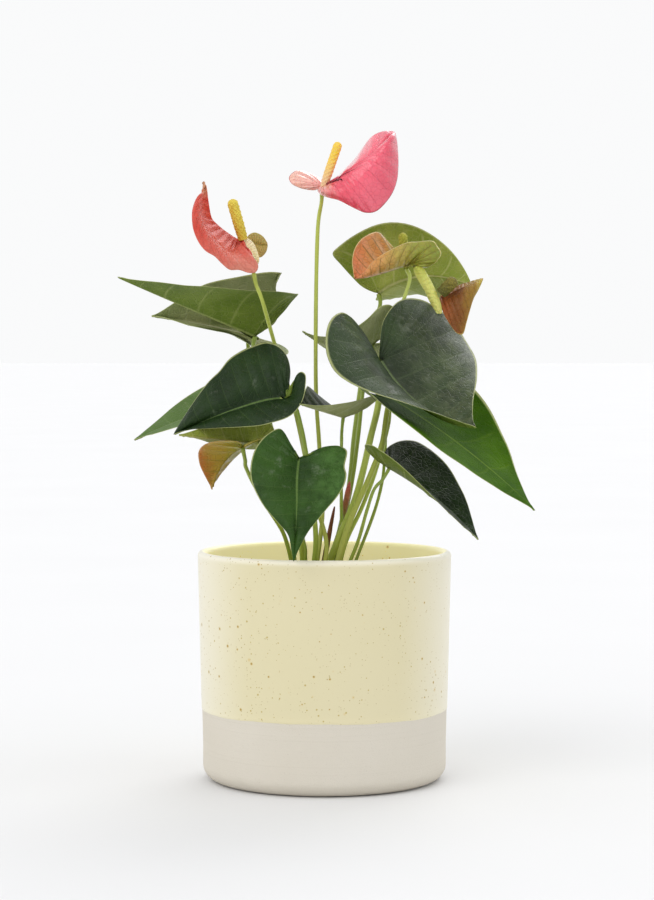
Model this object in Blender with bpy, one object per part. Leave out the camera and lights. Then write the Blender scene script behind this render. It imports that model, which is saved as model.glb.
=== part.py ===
# A potted anthurium: a round glazed pot of soil, twelve heart-shaped leaves on petioles, five waxy
# spathes on peduncles (four with a spadix) and a closed bud.
# Metres, +Z up, the pot's axis on Z, its base on z = 0, the front towards -Y.
import math

import bpy
import numpy as np

for old in list(bpy.data.objects):
    bpy.data.objects.remove(old, do_unlink=True)

MM = 0.001
GAP = 0.3  # mm of clearance between touching pieces

# ---- pot, soil and crown, in mm --------------------------------------------------------------
POT_HEIGHT = 135.0
POT_TOP_RADIUS = 75.0
POT_LOW_RADIUS = 72.0
POT_WALL = 5.5
POT_FLOOR = 8.0
POT_CORNER = 9.0
SOIL_DROP = 22.0  # soil level below the rim
CROWN_RADIUS = 22.5
CROWN_HEIGHT = 6.0
POT_SIDES = 56

# ---- plant, in mm ------------------------------------------------------------------------------
PLANT_SCALE = 1.0  # spread and height of the plant above the crown
BLADE_THICKNESS = 0.8
SPATHE_THICKNESS = 0.8
ROWS = 15  # rows of each half blade, from sinus to tip
COLUMNS = 3  # columns of each half blade, from midrib to margin
STEM_POINTS = 11

SOIL_TOP = POT_HEIGHT - SOIL_DROP
CROWN_TOP = SOIL_TOP + GAP + CROWN_HEIGHT

# Margin of half a blade of length 1 and half width about 0.5, from the sinus round to the tip.
MARGIN = np.array(
    [
        (0.0, 0.0),
        (-0.09, 0.035),
        (-0.27, 0.13),
        (-0.36, 0.28),
        (-0.29, 0.43),
        (-0.06, 0.51),
        (0.25, 0.455),
        (0.55, 0.30),
        (0.80, 0.125),
        (0.93, 0.035),
        (1.0, 0.0),
    ]
)

# Each blade: where its stalk joins it (mm), its heading, pitch and roll (degrees), its length (mm)
# and width (1 is the plain heart shape), then for its left and right halves the fold up from the
# midrib, the curl towards the margin and the upward bend of the basal lobe (radians), and for the
# whole blade the downward bend, the twist, the ripple and the length of the lobes. A pair of widths
# is for its left and right halves; clear and rise (mm) set the stalk and the spadix further off.
LEAVES = {
    "upper_left": dict(at=(-42, 32, 262), turn=(-159, 22, 1), length=92.5, width=(1.13, 0.75),
                       fold=(0.93, 0.11), curl=(-0.81, 0.03), lobe=(1.3, 0.02), twist=-0.65, lobes=0.25),
    "back_left": dict(at=(-46.5, 84, 262.5), turn=(-158, 13, -48), length=65, width=1.48,
                      fold=(0.58, 1.29), curl=(0, 0.27), lobe=(1.16, 1.6), bend=0.12, twist=0.2,
                      ripple=-0.11, lobes=0.95),
    "left": dict(at=(-22, -30, 227), turn=(178, -22, -8), length=69.5, width=1.32, fold=(0.59, 1.11),
                 curl=(-1.34, -0.75), lobe=(1.19, 1.85), bend=-0.11, twist=-0.45, lobes=0.75),
    "low_back": dict(at=(-46, 27, 223), turn=(-167, -12, -15), length=73, width=1.0,
                     fold=(0.16, 0.15), curl=(-0.12, 0.04), lobe=(-0.2, -0.2), bend=0.24, twist=0.06,
                     lobes=0.75),
    "low_left": dict(at=(-39, -8, 199), turn=(-141, 6, 59), length=57.5, width=(0.5, 0.5),
                     fold=(0.5, 0.5), curl=(-0.1, -0.1), lobe=(-0.2, -0.2), lobes=0.6),
    "front": dict(at=(-15, -55, 192), turn=(-93, -42, 2), length=69.5, width=0.88, fold=(-0.49, -0.13),
                  curl=(0.27, -0.31), lobe=(-1.0, 0.5), bend=0.33, twist=-0.06, lobes=1.05, clear=0.4),
    "right": dict(at=(32, -15, 247), turn=(-19, -57, 29), length=80, width=1.8, fold=(0.33, 0.84),
                  curl=(-0.63, -0.82), lobe=(0.03, 0.03), bend=-1.04, twist=0.17, ripple=0.01),
    "lower_right": dict(at=(39, -5, 225), turn=(-26, -28, 6), length=111, width=1.25, fold=(-0.22, 0.15),
                        curl=(0.78, 0.3), lobe=(0.0, 0.08), bend=0.25, twist=0.15, lobes=0.03),
    "small_right": dict(at=(38, -20, 185), turn=(-21, -27, 9), length=68, width=1.12, fold=(0.14, 0.36),
                        curl=(0.16, 0.33), lobe=(-0.04, 0.06), bend=0.36, twist=0.16, lobes=0.5),
    "small_centre": dict(at=(11, -10, 214.5), turn=(-122, 10, -4), length=48, width=1.12,
                         fold=(0.48, 0.51), curl=(0.29, 0.01), lobe=(0.01, -0.15), twist=-0.47, lobes=0.5),
    "back_right": dict(at=(28.5, 28, 257), turn=(-159, -17, 15), length=45.5, width=(1.3, 0.8),
                       fold=(0.36, -0.36), curl=(0.32, 0.11), lobe=(0.16, 0.04), bend=-0.99,
                       twist=-0.55),
    "top_right": dict(at=(33.5, 85, 289), turn=(-39, 30, 8), length=73.5, width=1.18, fold=(-0.3, 1.8),
                      curl=(0.3, -1.4), lobe=(1.5, 1.5), bend=0.99, twist=-0.95, ripple=0.09, lobes=0.55),
}
SPATHES = {
    "pink": dict(at=(-1.5, 5, 347), turn=(4, 40, 79), length=59, width=1.85, fold=(0.65, 0.86),
                 curl=(2.09, 0.11), lobe=(1.0, 1.4), bend=0.31, twist=0.55, ripple=-0.02, lobes=0.86),
    "red": dict(at=(-41.5, -15, 299), turn=(172, -1, -27), length=76.5, width=1.32, fold=(1.01, -0.01),
                curl=(-0.18, 0.05), lobe=(0.26, 0), bend=-2.38, twist=0.07, lobes=0.14, rise=0.8),
    "tan": dict(at=(49, 24, 302.5), turn=(-136, -6, 53), length=48.5, width=1.38, fold=(-0.07, 1.28),
                curl=(-0.69, 0.85), lobe=(-2.94, 1.59), bend=0.18, twist=0.24, lobes=1.16),
    "brown": dict(at=(70.5, 12, 284.5), turn=(31, -28, 42), length=33.5, width=2.45, fold=(0.17, 0.32),
                  curl=(-1.22, -0.39), lobe=(0.29, 0.29), bend=-2.37, twist=-0.26, lobes=1.03),
    "small": dict(at=(-47.5, -32, 197.5), turn=(133, -16, -3), length=40, width=(1.28, 0.9),
                  fold=(0.22, 0.32), curl=(-0.11, -0.22), lobe=(-0.34, -0.34), bend=0.91, twist=0.05,
                  lobes=0.6),
}

# Each stalk: its foot on the crown (x, y), the points that it passes through, and its radius at
# the foot and at the blade, all in mm.
PETIOLES = {
    "upper_left": ((-11, 3), [(-13, 7, 141), (-19, 13, 165), (-30, 22, 200), (-37, 28, 226)], 1.7, 1.2),
    "back_left": ((-12, 10), [(-15, 20, 140), (-22, 33, 164), (-35, 53, 199), (-42, 68, 226)], 1.7, 1.2),
    "left": ((-6.5, -9), [(-5, -14, 145), (-8, -20, 175), (-12, -25, 201), (-16, -28, 218)], 1.7, 1.2),
    "low_back": ((-17, 3), [(-22, 8, 159), (-33, 17, 191), (-41, 24, 211)], 1.5, 1.1),
    "low_left": ((-12, -4), [(-12, -5, 139), (-20, -6, 156), (-31, -7, 183)], 1.5, 1.1),
    "front": ((-13, -11), [(-13, -23, 140), (-14, -36, 161), (-15, -48, 180)], 1.6, 1.2),
    "right": ((0.5, -5), [(10, -6, 146), (17, -5, 162), (22, -4, 179), (27, -3, 201), (32, -2, 224)],
              2.1, 1.9),
    "lower_right": ((6, -13), [(13, -12, 147), (18, -11, 160), (24, -10, 173), (29, -9, 185), (34, -7, 199)],
                    2.0, 1.5),
    "small_right": ((12.5, -9), [(20, -13, 142), (25, -16, 160), (29, -18, 172)], 1.2, 0.9),
    "small_centre": ((7.5, 3), [(10, 0, 147), (10, -4, 164), (10, -13, 198)], 1.2, 0.9),
    "back_right": ((3.5, 6), [(10, 9, 146), (16, 13, 172), (20, 17, 200), (24, 22, 236)], 1.4, 1.1),
    "top_right": ((1, 12), [(9, 22, 145), (15, 36, 172), (18, 52, 200), (23, 71, 236), (29, 83, 266)],
                  1.6, 1.2),
}
PEDUNCLES = {
    "pink": ((-5, -1.5), [(-1, 2, 159), (-3, 6, 197), (-5, 10, 230), (-5, 8, 284), (-4, 6, 325)], 1.4, 1.1),
    "red": ((-0.5, -12), [(1, -12, 142), (-7, -11, 171), (-18, -6, 221), (-28, 4, 252), (-36, -13, 281)],
            1.4, 1.1),
    "tan": ((8, -5), [(13, -4, 141), (22, -1, 160), (30, 1, 181), (38, 5, 210), (38.5, 8, 228),
                      (43, 15, 253), (46, 21, 278)], 1.3, 1.1),
    "brown": ((16, -2), [(29, 2, 156), (34, 5, 174), (36, 11, 190), (38, 16, 222), (46, 22, 245),
                         (60, 47, 268), (68, 38, 284)], 1.0, 0.9),
    "small": ((-18, -4), [(-24, -13, 146), (-36, -21, 166), (-45, -27, 184)], 1.3, 1.1),
}

# Each spadix: the end of its axis (mm), its radius at the base and near the end.
SPADICES = {
    "pink": ((8.5, 4, 376), 1.7, 2.3),
    "red": ((-54, -18, 341), 2.6, 2.9),
    "tan": ((46.5, 20, 323.5), 2.0, 2.6),
    "brown": ((77.5, 6, 295.5), 2.8, 3.0),
}

BUD_FOOT = (8, 9.5)
BUD_BASE = (11, 2, 154)
BUD_TIP = (15, -1, 176)
BUD_RADIUS = 1.6
SHEATH_FOOT = (-0.3, 0.5)
SHEATH_TIP = (6, -2, 161)


def material(name, colour, roughness, metallic=0.0):
    made = bpy.data.materials.new(name)
    made.use_nodes = True
    shader = made.node_tree.nodes["Principled BSDF"]
    shader.inputs["Base Color"].default_value = (*colour, 1.0)
    shader.inputs["Roughness"].default_value = roughness
    shader.inputs["Metallic"].default_value = metallic
    made.diffuse_color = (*colour, 1.0)
    return made


def mesh_object(name, points, faces, look, place=(0, 0, 0), turn=(0, 0, 0), smooth=True):
    """A named object from points in mm about its own origin, placed in mm and degrees."""
    mesh = bpy.data.meshes.new(name)
    mesh.from_pydata([tuple(float(c) * MM for c in p) for p in points], [], faces)
    if smooth:
        mesh.shade_smooth()
    mesh.materials.append(look)
    made = bpy.data.objects.new(name, mesh)
    made.location = [c * MM for c in place]
    made.rotation_euler = [math.radians(a) for a in turn]
    bpy.context.scene.collection.objects.link(made)
    return made


# ---- the pot and what fills it -------------------------------------------------------------------
def turned(profile, sides, lift=None):
    """Points and faces of a profile of (radius, height) turned about Z. Its ends lie on the axis."""
    points = [(0, 0, profile[0][1])]
    for radius, height in profile[1:-1]:
        for k in range(sides):
            angle = 2 * math.pi * k / sides
            x = radius * math.cos(angle)
            y = radius * math.sin(angle)
            points.append((x, y, height + (lift(x, y, height) if lift else 0)))
    points.append((0, 0, profile[-1][1]))
    rings = len(profile) - 2
    last = len(points) - 1
    faces = []
    for k in range(sides):
        after = (k + 1) % sides
        faces.append((0, 1 + after, 1 + k))
        for ring in range(rings - 1):
            low = 1 + ring * sides
            high = low + sides
            faces.append((low + k, low + after, high + after, high + k))
        top = 1 + (rings - 1) * sides
        faces.append((top + k, top + after, last))
    return points, faces


def rounded(centre, radius, start, stop, steps):
    """Points (radius, height) along an arc, from one angle to another in degrees."""
    angles = np.radians(np.linspace(start, stop, steps))
    return [(centre[0] + radius * math.cos(a), centre[1] + radius * math.sin(a)) for a in angles]


def wall_radius(height):
    """Outer radius of the pot at a height."""
    share = (height - POT_CORNER) / (POT_HEIGHT - POT_CORNER)
    return POT_LOW_RADIUS + (POT_TOP_RADIUS - POT_LOW_RADIUS) * share


def pot_profile():
    lip = POT_WALL / 2
    outer = [(0.0, 0.0)]
    outer += rounded((POT_LOW_RADIUS - POT_CORNER, POT_CORNER), POT_CORNER, -90, 0, 5)
    outer += rounded((POT_TOP_RADIUS - lip, POT_HEIGHT - lip), lip, 0, 180, 7)
    inner_low = wall_radius(POT_FLOOR) - POT_WALL
    inner = rounded((inner_low - POT_CORNER, POT_FLOOR + POT_CORNER), POT_CORNER, 0, -90, 4)
    return outer + inner + [(0.0, POT_FLOOR)]


def soil_profile():
    room = wall_radius(POT_FLOOR) - POT_WALL - GAP
    floor = POT_FLOOR + GAP
    low = rounded((room - POT_CORNER, floor + POT_CORNER), POT_CORNER, -90, 0, 4)
    edge = wall_radius(SOIL_TOP) - POT_WALL - 3 * GAP
    tops = [(edge, SOIL_TOP - 1.5)]
    for share in (0.86, 0.7, 0.54):
        tops.append((edge * share, SOIL_TOP))
    tops.append((CROWN_RADIUS + 7.0, SOIL_TOP))
    return [(0.0, floor)] + low + tops + [(0.0, SOIL_TOP)]


def soil_lift(x, y, height):
    """Uneven soil between the crown and the wall: flat under the crown and at the edge."""
    if height < SOIL_TOP:
        return 0.0
    away = math.hypot(x, y)
    edge = wall_radius(SOIL_TOP) - POT_WALL - 3 * GAP
    band = max(0.0, min(1.0, (away - CROWN_RADIUS - 8) / 8)) * max(0.0, min(1.0, (edge - 1 - away) / 6))
    return band * (1.2 * math.sin(0.31 * x + 0.8) * math.cos(0.27 * y) + 0.6 * math.sin(0.5 * y - 0.2 * x))


glaze = material("glaze", (0.74, 0.69, 0.45), 0.25)
earth = material("earth", (0.05, 0.03, 0.02), 0.95)
stem_base = material("stem_base", (0.24, 0.30, 0.06), 0.6)
leaf_green = material("leaf_green", (0.03, 0.12, 0.03), 0.35)
stalk_green = material("stalk_green", (0.30, 0.42, 0.06), 0.45)
spathe_pink = material("spathe_pink", (0.75, 0.07, 0.12), 0.35)
spathe_red = material("spathe_red", (0.70, 0.05, 0.03), 0.35)
spathe_tan = material("spathe_tan", (0.55, 0.42, 0.16), 0.45)
spathe_brown = material("spathe_brown", (0.45, 0.18, 0.04), 0.45)
spadix_yellow = material("spadix_yellow", (0.85, 0.60, 0.12), 0.7)
spadix_olive = material("spadix_olive", (0.25, 0.28, 0.08), 0.7)
bud_red = material("bud_red", (0.60, 0.10, 0.05), 0.45)

mesh_object("pot", *turned(pot_profile(), POT_SIDES), glaze)
mesh_object("soil", *turned(soil_profile(), 40, soil_lift), earth)
CROWN = [
    (0.0, 0.0),
    (CROWN_RADIUS + 4, 0.0),
    (CROWN_RADIUS + 4, 2.0),
    (CROWN_RADIUS, CROWN_HEIGHT),
    (0.0, CROWN_HEIGHT),
]
mesh_object("crown", *turned(CROWN, 32), stem_base, place=(0, 0, SOIL_TOP + GAP))


# ---- blades --------------------------------------------------------------------------------------
def along(key, steps):
    """A smooth curve through the key points."""
    key = np.asarray(key, float)
    ends = np.vstack([2 * key[0] - key[1], key, 2 * key[-1] - key[-2]])
    place = np.linspace(0, len(key) - 1, steps)
    first = np.minimum(place.astype(int), len(key) - 2)
    t = (place - first)[:, None]
    p0, p1, p2, p3 = (ends[first + k] for k in range(4))
    return 0.5 * (2 * p1 + (p2 - p0) * t + (2 * p0 - 5 * p1 + 4 * p2 - p3) * t**2
                  + (3 * p1 - p0 - 3 * p2 + p3) * t**3)


def arc(start, rate, distance):
    """Where a line of constant curvature ends, as (forward, upward)."""
    rate = np.where(np.abs(rate) < 1e-4, 1e-4, rate)
    forward = (np.sin(start + rate * distance) - np.sin(start)) / rate
    upward = (np.cos(start) - np.cos(start + rate * distance)) / rate
    return forward, upward


def half_blade(shape, side):
    """Points of one half of a blade's middle surface, rows by columns, from midrib to margin, in mm.
    The blade runs along +X from its stalk, +Y is its left and +Z its upper side."""
    which = 0 if side > 0 else 1
    margin = along(MARGIN, ROWS)
    length = np.where(margin[:, 0] < 0, margin[:, 0] * shape.get("lobes", 1), margin[:, 0])[:, None]
    width = np.broadcast_to(shape["width"], 2)[which]
    reach = (margin[:, 1] * width)[:, None]
    leave = np.where(length < 0.05, 0, np.clip((length - 0.05) / 0.95, 0, 1) ** 1.25)
    out = np.linspace(0, 1, COLUMNS + 1)
    a = leave + (length - leave) * out
    b = reach * out
    y, z = arc(shape["fold"][which], shape["curl"][which] / (0.5 * width), b)
    z = z + shape.get("ripple", 0) * np.sin(9 * a + 1.5 * side) * b * 0.5
    y = side * y
    turn = shape.get("twist", 0) * a
    y, z = y * np.cos(turn) - z * np.sin(turn), y * np.sin(turn) + z * np.cos(turn)
    rate = np.where(a >= 0, -shape.get("bend", 0), shape["lobe"][which])
    forward, upward = arc(0, rate, a)
    x = forward - z * np.sin(rate * a)
    z = upward + z * np.cos(rate * a)
    return np.stack([x, y, z], axis=-1) * shape["length"] * PLANT_SCALE


def blade_surface(shape):
    """Points and faces of the whole middle surface, upper side up, one point at stalk and tip."""
    points = []
    index = {}

    def number(key, place):
        if key not in index:
            index[key] = len(points)
            points.append(place)
        return index[key]

    faces = []
    for side in (1, -1):
        grid = half_blade(shape, side)
        rows, columns = grid.shape[:2]
        ids = np.zeros((rows, columns), int)
        for i in range(rows):
            for j in range(columns):
                if i == 0 or (j == 0 and np.allclose(grid[i, j], 0)):
                    key = "stalk"
                elif i == rows - 1:
                    key = "tip"
                elif j == 0:
                    key = ("rib", i)
                else:
                    key = (side, i, j)
                ids[i, j] = number(key, grid[i, j])
        for i in range(rows - 1):
            for j in range(columns - 1):
                quad = [ids[i, j], ids[i + 1, j], ids[i + 1, j + 1], ids[i, j + 1]]
                face = [int(q) for k, q in enumerate(quad) if q not in quad[:k]]
                if len(face) > 2:
                    faces.append(tuple(face if side > 0 else face[::-1]))
    return np.array(points), faces


def thickened(points, faces, thickness):
    """The closed solid half a thickness either side of a surface."""
    normals = np.zeros_like(points)
    edges = {}
    for face in faces:
        corners = points[list(face)]
        normal = np.cross(corners[1] - corners[0], corners[2] - corners[0])
        if len(face) > 3:
            normal = normal + np.cross(corners[2] - corners[0], corners[3] - corners[0])
        for corner in face:
            normals[corner] += normal
        for one, two in zip(face, face[1:] + face[:1]):
            edges[(one, two)] = edges.get((one, two), 0) + 1
    normals /= np.linalg.norm(normals, axis=1)[:, None]
    count = len(points)
    solid = np.vstack([points + normals * thickness / 2, points - normals * thickness / 2])
    closed = list(faces) + [tuple(count + c for c in face[::-1]) for face in faces]
    for one, two in edges:
        if (two, one) not in edges:
            closed.append((two, one, count + one, count + two))
    return solid, closed


def turn_matrix(turn):
    """Rotation of a blade by its heading, pitch and roll in degrees."""
    h, p, r = (math.radians(a) for a in turn)
    about_z = np.array([[math.cos(h), -math.sin(h), 0], [math.sin(h), math.cos(h), 0], [0, 0, 1]])
    about_y = np.array([[math.cos(p), 0, -math.sin(p)], [0, 1, 0], [math.sin(p), 0, math.cos(p)]])
    about_x = np.array([[1, 0, 0], [0, math.cos(r), -math.sin(r)], [0, math.sin(r), math.cos(r)]])
    return about_z @ about_y @ about_x


def spread(point):
    """A design point moved with the size of the plant: the crown's top stays where it is."""
    x, y, z = point
    return np.array([x * PLANT_SCALE, y * PLANT_SCALE, CROWN_TOP + (z - 119.3) * PLANT_SCALE])


def blade(name, shape, thickness, look):
    heading, pitch, roll = shape["turn"]
    solid, faces = thickened(*blade_surface(shape), thickness)
    return mesh_object(name, solid, faces, look, spread(shape["at"]), (roll, -pitch, heading))


# ---- stalks --------------------------------------------------------------------------------------
def unit(vector):
    return vector / np.linalg.norm(vector)


def tube(name, path, radii, look, sides=8):
    """A round stalk of varying radius along a path in mm, closed at both ends."""
    curve = bpy.data.curves.new(name, "CURVE")
    curve.dimensions = "3D"
    curve.twist_mode = "MINIMUM"
    curve.bevel_depth = MM
    curve.bevel_resolution = (sides - 4) // 2
    curve.use_fill_caps = True
    line = curve.splines.new("POLY")
    line.points.add(len(path) - 1)
    for point, place, radius in zip(line.points, path - path[0], radii):
        point.co = (*(place * MM), 1.0)
        point.radius = radius
    curve.materials.append(look)
    made = bpy.data.objects.new(name, curve)
    made.location = path[0] * MM
    bpy.context.scene.collection.objects.link(made)
    return made


def stand_off(direction, normal, radius, thickness):
    """How far along its direction a round end stops, to clear a plate by the gap."""
    lean = max(0.35, abs(float(direction @ normal)))
    return (thickness / 2 + GAP + radius * math.sqrt(1 - min(1, lean) ** 2)) / lean


def foot_of(spot, aim, radius):
    """The start of a stalk on the crown's top, clear of it by the gap, and its first direction."""
    start = np.array([spot[0], spot[1], CROWN_TOP], float)
    direction = unit(unit(aim - start) + np.array([0, 0, 1.0]))
    lean = math.hypot(direction[0], direction[1])
    return start + np.array([0, 0, GAP + radius * lean + 0.3]), direction


def stalk(name, spec, shape, thickness, look):
    spot, through, low, high = spec
    turn = turn_matrix(shape["turn"])
    top = spread(shape["at"])
    through = [spread(p) for p in through]
    under = -turn[:, 2]
    away = unit(under + 1.2 * unit(through[-1] - top))
    end = top + away * (stand_off(away, under, high * 1.15, thickness) + shape.get("clear", 0))
    foot, rise = foot_of(spot, through[0], low)
    key = [foot, foot + rise * 6] + through + [top + away * 8, end]
    path = along(key, STEM_POINTS + 2)
    share = np.linspace(0, 1, len(path))
    radii = low + (high - low) * share**0.7
    radii[-2:] = high * 1.15
    return tube(name, path, radii, look)


for name, shape in LEAVES.items():
    blade("leaf_" + name, shape, BLADE_THICKNESS, leaf_green)
    stalk("petiole_" + name, PETIOLES[name], shape, BLADE_THICKNESS, stalk_green)

SPATHE_LOOKS = dict(pink=spathe_pink, red=spathe_red, tan=spathe_tan, brown=spathe_brown, small=spathe_tan)
for name, shape in SPATHES.items():
    blade("spathe_" + name, shape, SPATHE_THICKNESS, SPATHE_LOOKS[name])
    stalk("peduncle_" + name, PEDUNCLES[name], shape, SPATHE_THICKNESS, stalk_green)

SPADIX_LOOKS = dict(pink=spadix_yellow, red=spadix_yellow, tan=spadix_olive, brown=spadix_olive)
for name, (tip, low, high) in SPADICES.items():
    shape = SPATHES[name]
    turn = turn_matrix(shape["turn"])
    base = spread(shape["at"])
    axis = unit(spread(tip) - base)
    clear = stand_off(axis, turn[:, 2], low, SPATHE_THICKNESS) + shape.get("rise", 0)
    long = np.linalg.norm(spread(tip) - base)
    steps = np.array([clear, clear + 0.35 * (long - clear), long - high, long - 0.4 * high, long])
    path = base + axis * steps[:, None]
    tube("spadix_" + name, path, [low, high, high * 0.9, high * 0.66, high * 0.2], SPADIX_LOOKS[name], 10)

# ---- the closed bud on its short stalk, and the dry sheath beside it ---------------------------------
bud_base = spread(BUD_BASE)
bud_tip = spread(BUD_TIP)
bud_axis = unit(bud_tip - bud_base)
foot, rise = foot_of(BUD_FOOT, bud_base, 1.0)
path = along([foot, foot + rise * 5, bud_base - bud_axis * 8, bud_base - bud_axis * (GAP + 0.3)], 8)
tube("bud_stalk", path, np.full(8, 1.0), stalk_green)
steps = np.array([0, 0.2, 0.45, 0.7, 0.9, 1.0])[:, None]
swell = [0.75, 1.0, 1.0, 0.75, 0.4, 0.12]
tube("bud", bud_base + (bud_tip - bud_base) * steps, [BUD_RADIUS * s for s in swell], bud_red)
sheath_tip = spread(SHEATH_TIP)
foot, rise = foot_of(SHEATH_FOOT, sheath_tip, 1.6)
path = along([foot, foot + rise * 10, sheath_tip], 7)
tube("sheath", path, [1.6, 1.7, 1.6, 1.4, 1.1, 0.7, 0.2], bud_red)
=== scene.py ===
# %% [markdown]
# # A potted anthurium
# A round stoneware pot, dipped in a speckled pale yellow glaze, holds an anthurium: twelve
# heart-shaped leaves on long stalks, five waxy spathes (four of them round a fleshy spadix), a closed
# bud and the dry sheath beside it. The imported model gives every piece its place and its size. This
# script makes the detailed piece that stands for each plain solid, and each piece's finish.

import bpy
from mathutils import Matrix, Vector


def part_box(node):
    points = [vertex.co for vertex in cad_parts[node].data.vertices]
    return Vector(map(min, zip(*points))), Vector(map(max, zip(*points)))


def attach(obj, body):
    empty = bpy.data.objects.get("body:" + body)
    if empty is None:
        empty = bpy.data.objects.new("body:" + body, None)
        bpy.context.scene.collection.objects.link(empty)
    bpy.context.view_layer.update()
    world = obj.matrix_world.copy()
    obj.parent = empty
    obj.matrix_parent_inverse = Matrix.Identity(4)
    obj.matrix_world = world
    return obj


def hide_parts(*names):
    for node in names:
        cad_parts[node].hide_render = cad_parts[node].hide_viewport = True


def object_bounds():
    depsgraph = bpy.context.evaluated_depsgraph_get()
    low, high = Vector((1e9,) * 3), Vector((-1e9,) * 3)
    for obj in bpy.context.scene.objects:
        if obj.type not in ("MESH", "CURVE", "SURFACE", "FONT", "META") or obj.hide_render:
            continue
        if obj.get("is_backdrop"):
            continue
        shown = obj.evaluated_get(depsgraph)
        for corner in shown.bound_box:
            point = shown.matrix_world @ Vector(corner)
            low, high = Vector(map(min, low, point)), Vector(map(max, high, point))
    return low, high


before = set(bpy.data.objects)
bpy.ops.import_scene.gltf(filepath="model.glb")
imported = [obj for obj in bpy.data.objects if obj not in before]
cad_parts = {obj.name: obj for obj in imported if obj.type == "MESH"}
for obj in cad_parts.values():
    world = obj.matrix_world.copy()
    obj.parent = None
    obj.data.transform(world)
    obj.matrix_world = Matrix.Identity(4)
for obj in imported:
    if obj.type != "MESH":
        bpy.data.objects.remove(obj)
cad_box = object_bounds()
print("CAD box in metres:", cad_box)

# %% [markdown]
# Blender works in metres, but a plant's sizes are easier to think of in millimetres. So the pieces
# are worked out in millimetres and turned into metres when their mesh is made. Every object stays at
# the origin with its place in its vertices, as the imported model's own nodes do.

# %% Modules, units and the sizes that the frame gives
import math

import bpy
import numpy as np
from mathutils import Vector, noise

MM = 0.001
scene = bpy.context.scene


def box_mm(node):
    """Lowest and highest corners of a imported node, in mm."""
    low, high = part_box(node)
    return np.array(low) / MM, np.array(high) / MM


pot_low, pot_high = box_mm("pot")
crown_low, crown_high = box_mm("crown")
RIM_HEIGHT = pot_high[2]
RIM_RADIUS = (pot_high[0] - pot_low[0]) / 2
CROWN_TOP = crown_high[2]
CROWN_RADIUS = (crown_high[0] - crown_low[0]) / 2
SOIL_TOP = crown_low[2]
print(f"pot {2 * RIM_RADIUS:.1f} wide, {RIM_HEIGHT:.1f} high; crown top at {CROWN_TOP:.1f} mm")

# %% [markdown]
# The camera stands a little under a metre and a half away, just above half the plant's height, and
# looks very slightly down through a long lens. The long lens keeps the pot's sides nearly upright,
# and from this height the rim shows as a narrow ellipse. The plain colour transform keeps the white
# surroundings white.

# %% Camera
CAMERA_PLACE = (0.0015, -1.4368, 0.2516)
CAMERA_DOWN = 2.28  # degrees
LENS = 97.32
SENSOR = 36.0

camera_data = bpy.data.cameras.new("camera")
camera_data.lens = LENS
camera_data.sensor_width = SENSOR
camera = bpy.data.objects.new("camera", camera_data)
camera.location = CAMERA_PLACE
camera.rotation_euler = (math.radians(90 - CAMERA_DOWN), 0, 0)
scene.collection.objects.link(camera)
scene.camera = camera
scene.view_settings.view_transform = "Standard"
print("camera at", CAMERA_PLACE)

# %% [markdown]
# Shader maths is easier to read as arithmetic than as a list of nodes and links. This small class
# wraps one socket. Adding, taking away, multiplying or dividing it makes the Math node that does so,
# or a Vector Math node if one side is a vector or a colour. The reflected forms let `1 - mask` work.

# %% Signal: a socket that can be used in arithmetic
class Signal:
    """One output socket of a finish."""

    def __init__(self, finish, socket):
        self.finish = finish
        self.socket = socket

    def __add__(self, other):
        return self.finish.maths("ADD", self, other)

    __radd__ = __add__

    def __sub__(self, other):
        return self.finish.maths("SUBTRACT", self, other)

    def __rsub__(self, other):
        return self.finish.maths("SUBTRACT", other, self)

    def __mul__(self, other):
        return self.finish.maths("MULTIPLY", self, other)

    __rmul__ = __mul__

    def __truediv__(self, other):
        return self.finish.maths("DIVIDE", self, other)

    def __pow__(self, other):
        return self.finish.maths("POWER", self, other)


# %% [markdown]
# One method, `node`, makes any node: it takes the node's type, its settings, which are set first, and
# the values or links of its sockets. The other methods are short names for the nodes that a plant and
# a glazed pot need again and again: smooth steps, noise, cells and mixed colours. A finish is a
# material with its Principled shader, and the world has the same methods without a material.

# %% Nodes of one tree, and Finish: a material with its tree
def tone(red, green, blue):
    """A colour given as 0 to 255 on a screen, as the linear values that a shader takes."""
    parts = [c / 255 for c in (red, green, blue)]
    return (*[c / 12.92 if c <= 0.04045 else ((c + 0.055) / 1.055) ** 2.4 for c in parts], 1.0)


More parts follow.
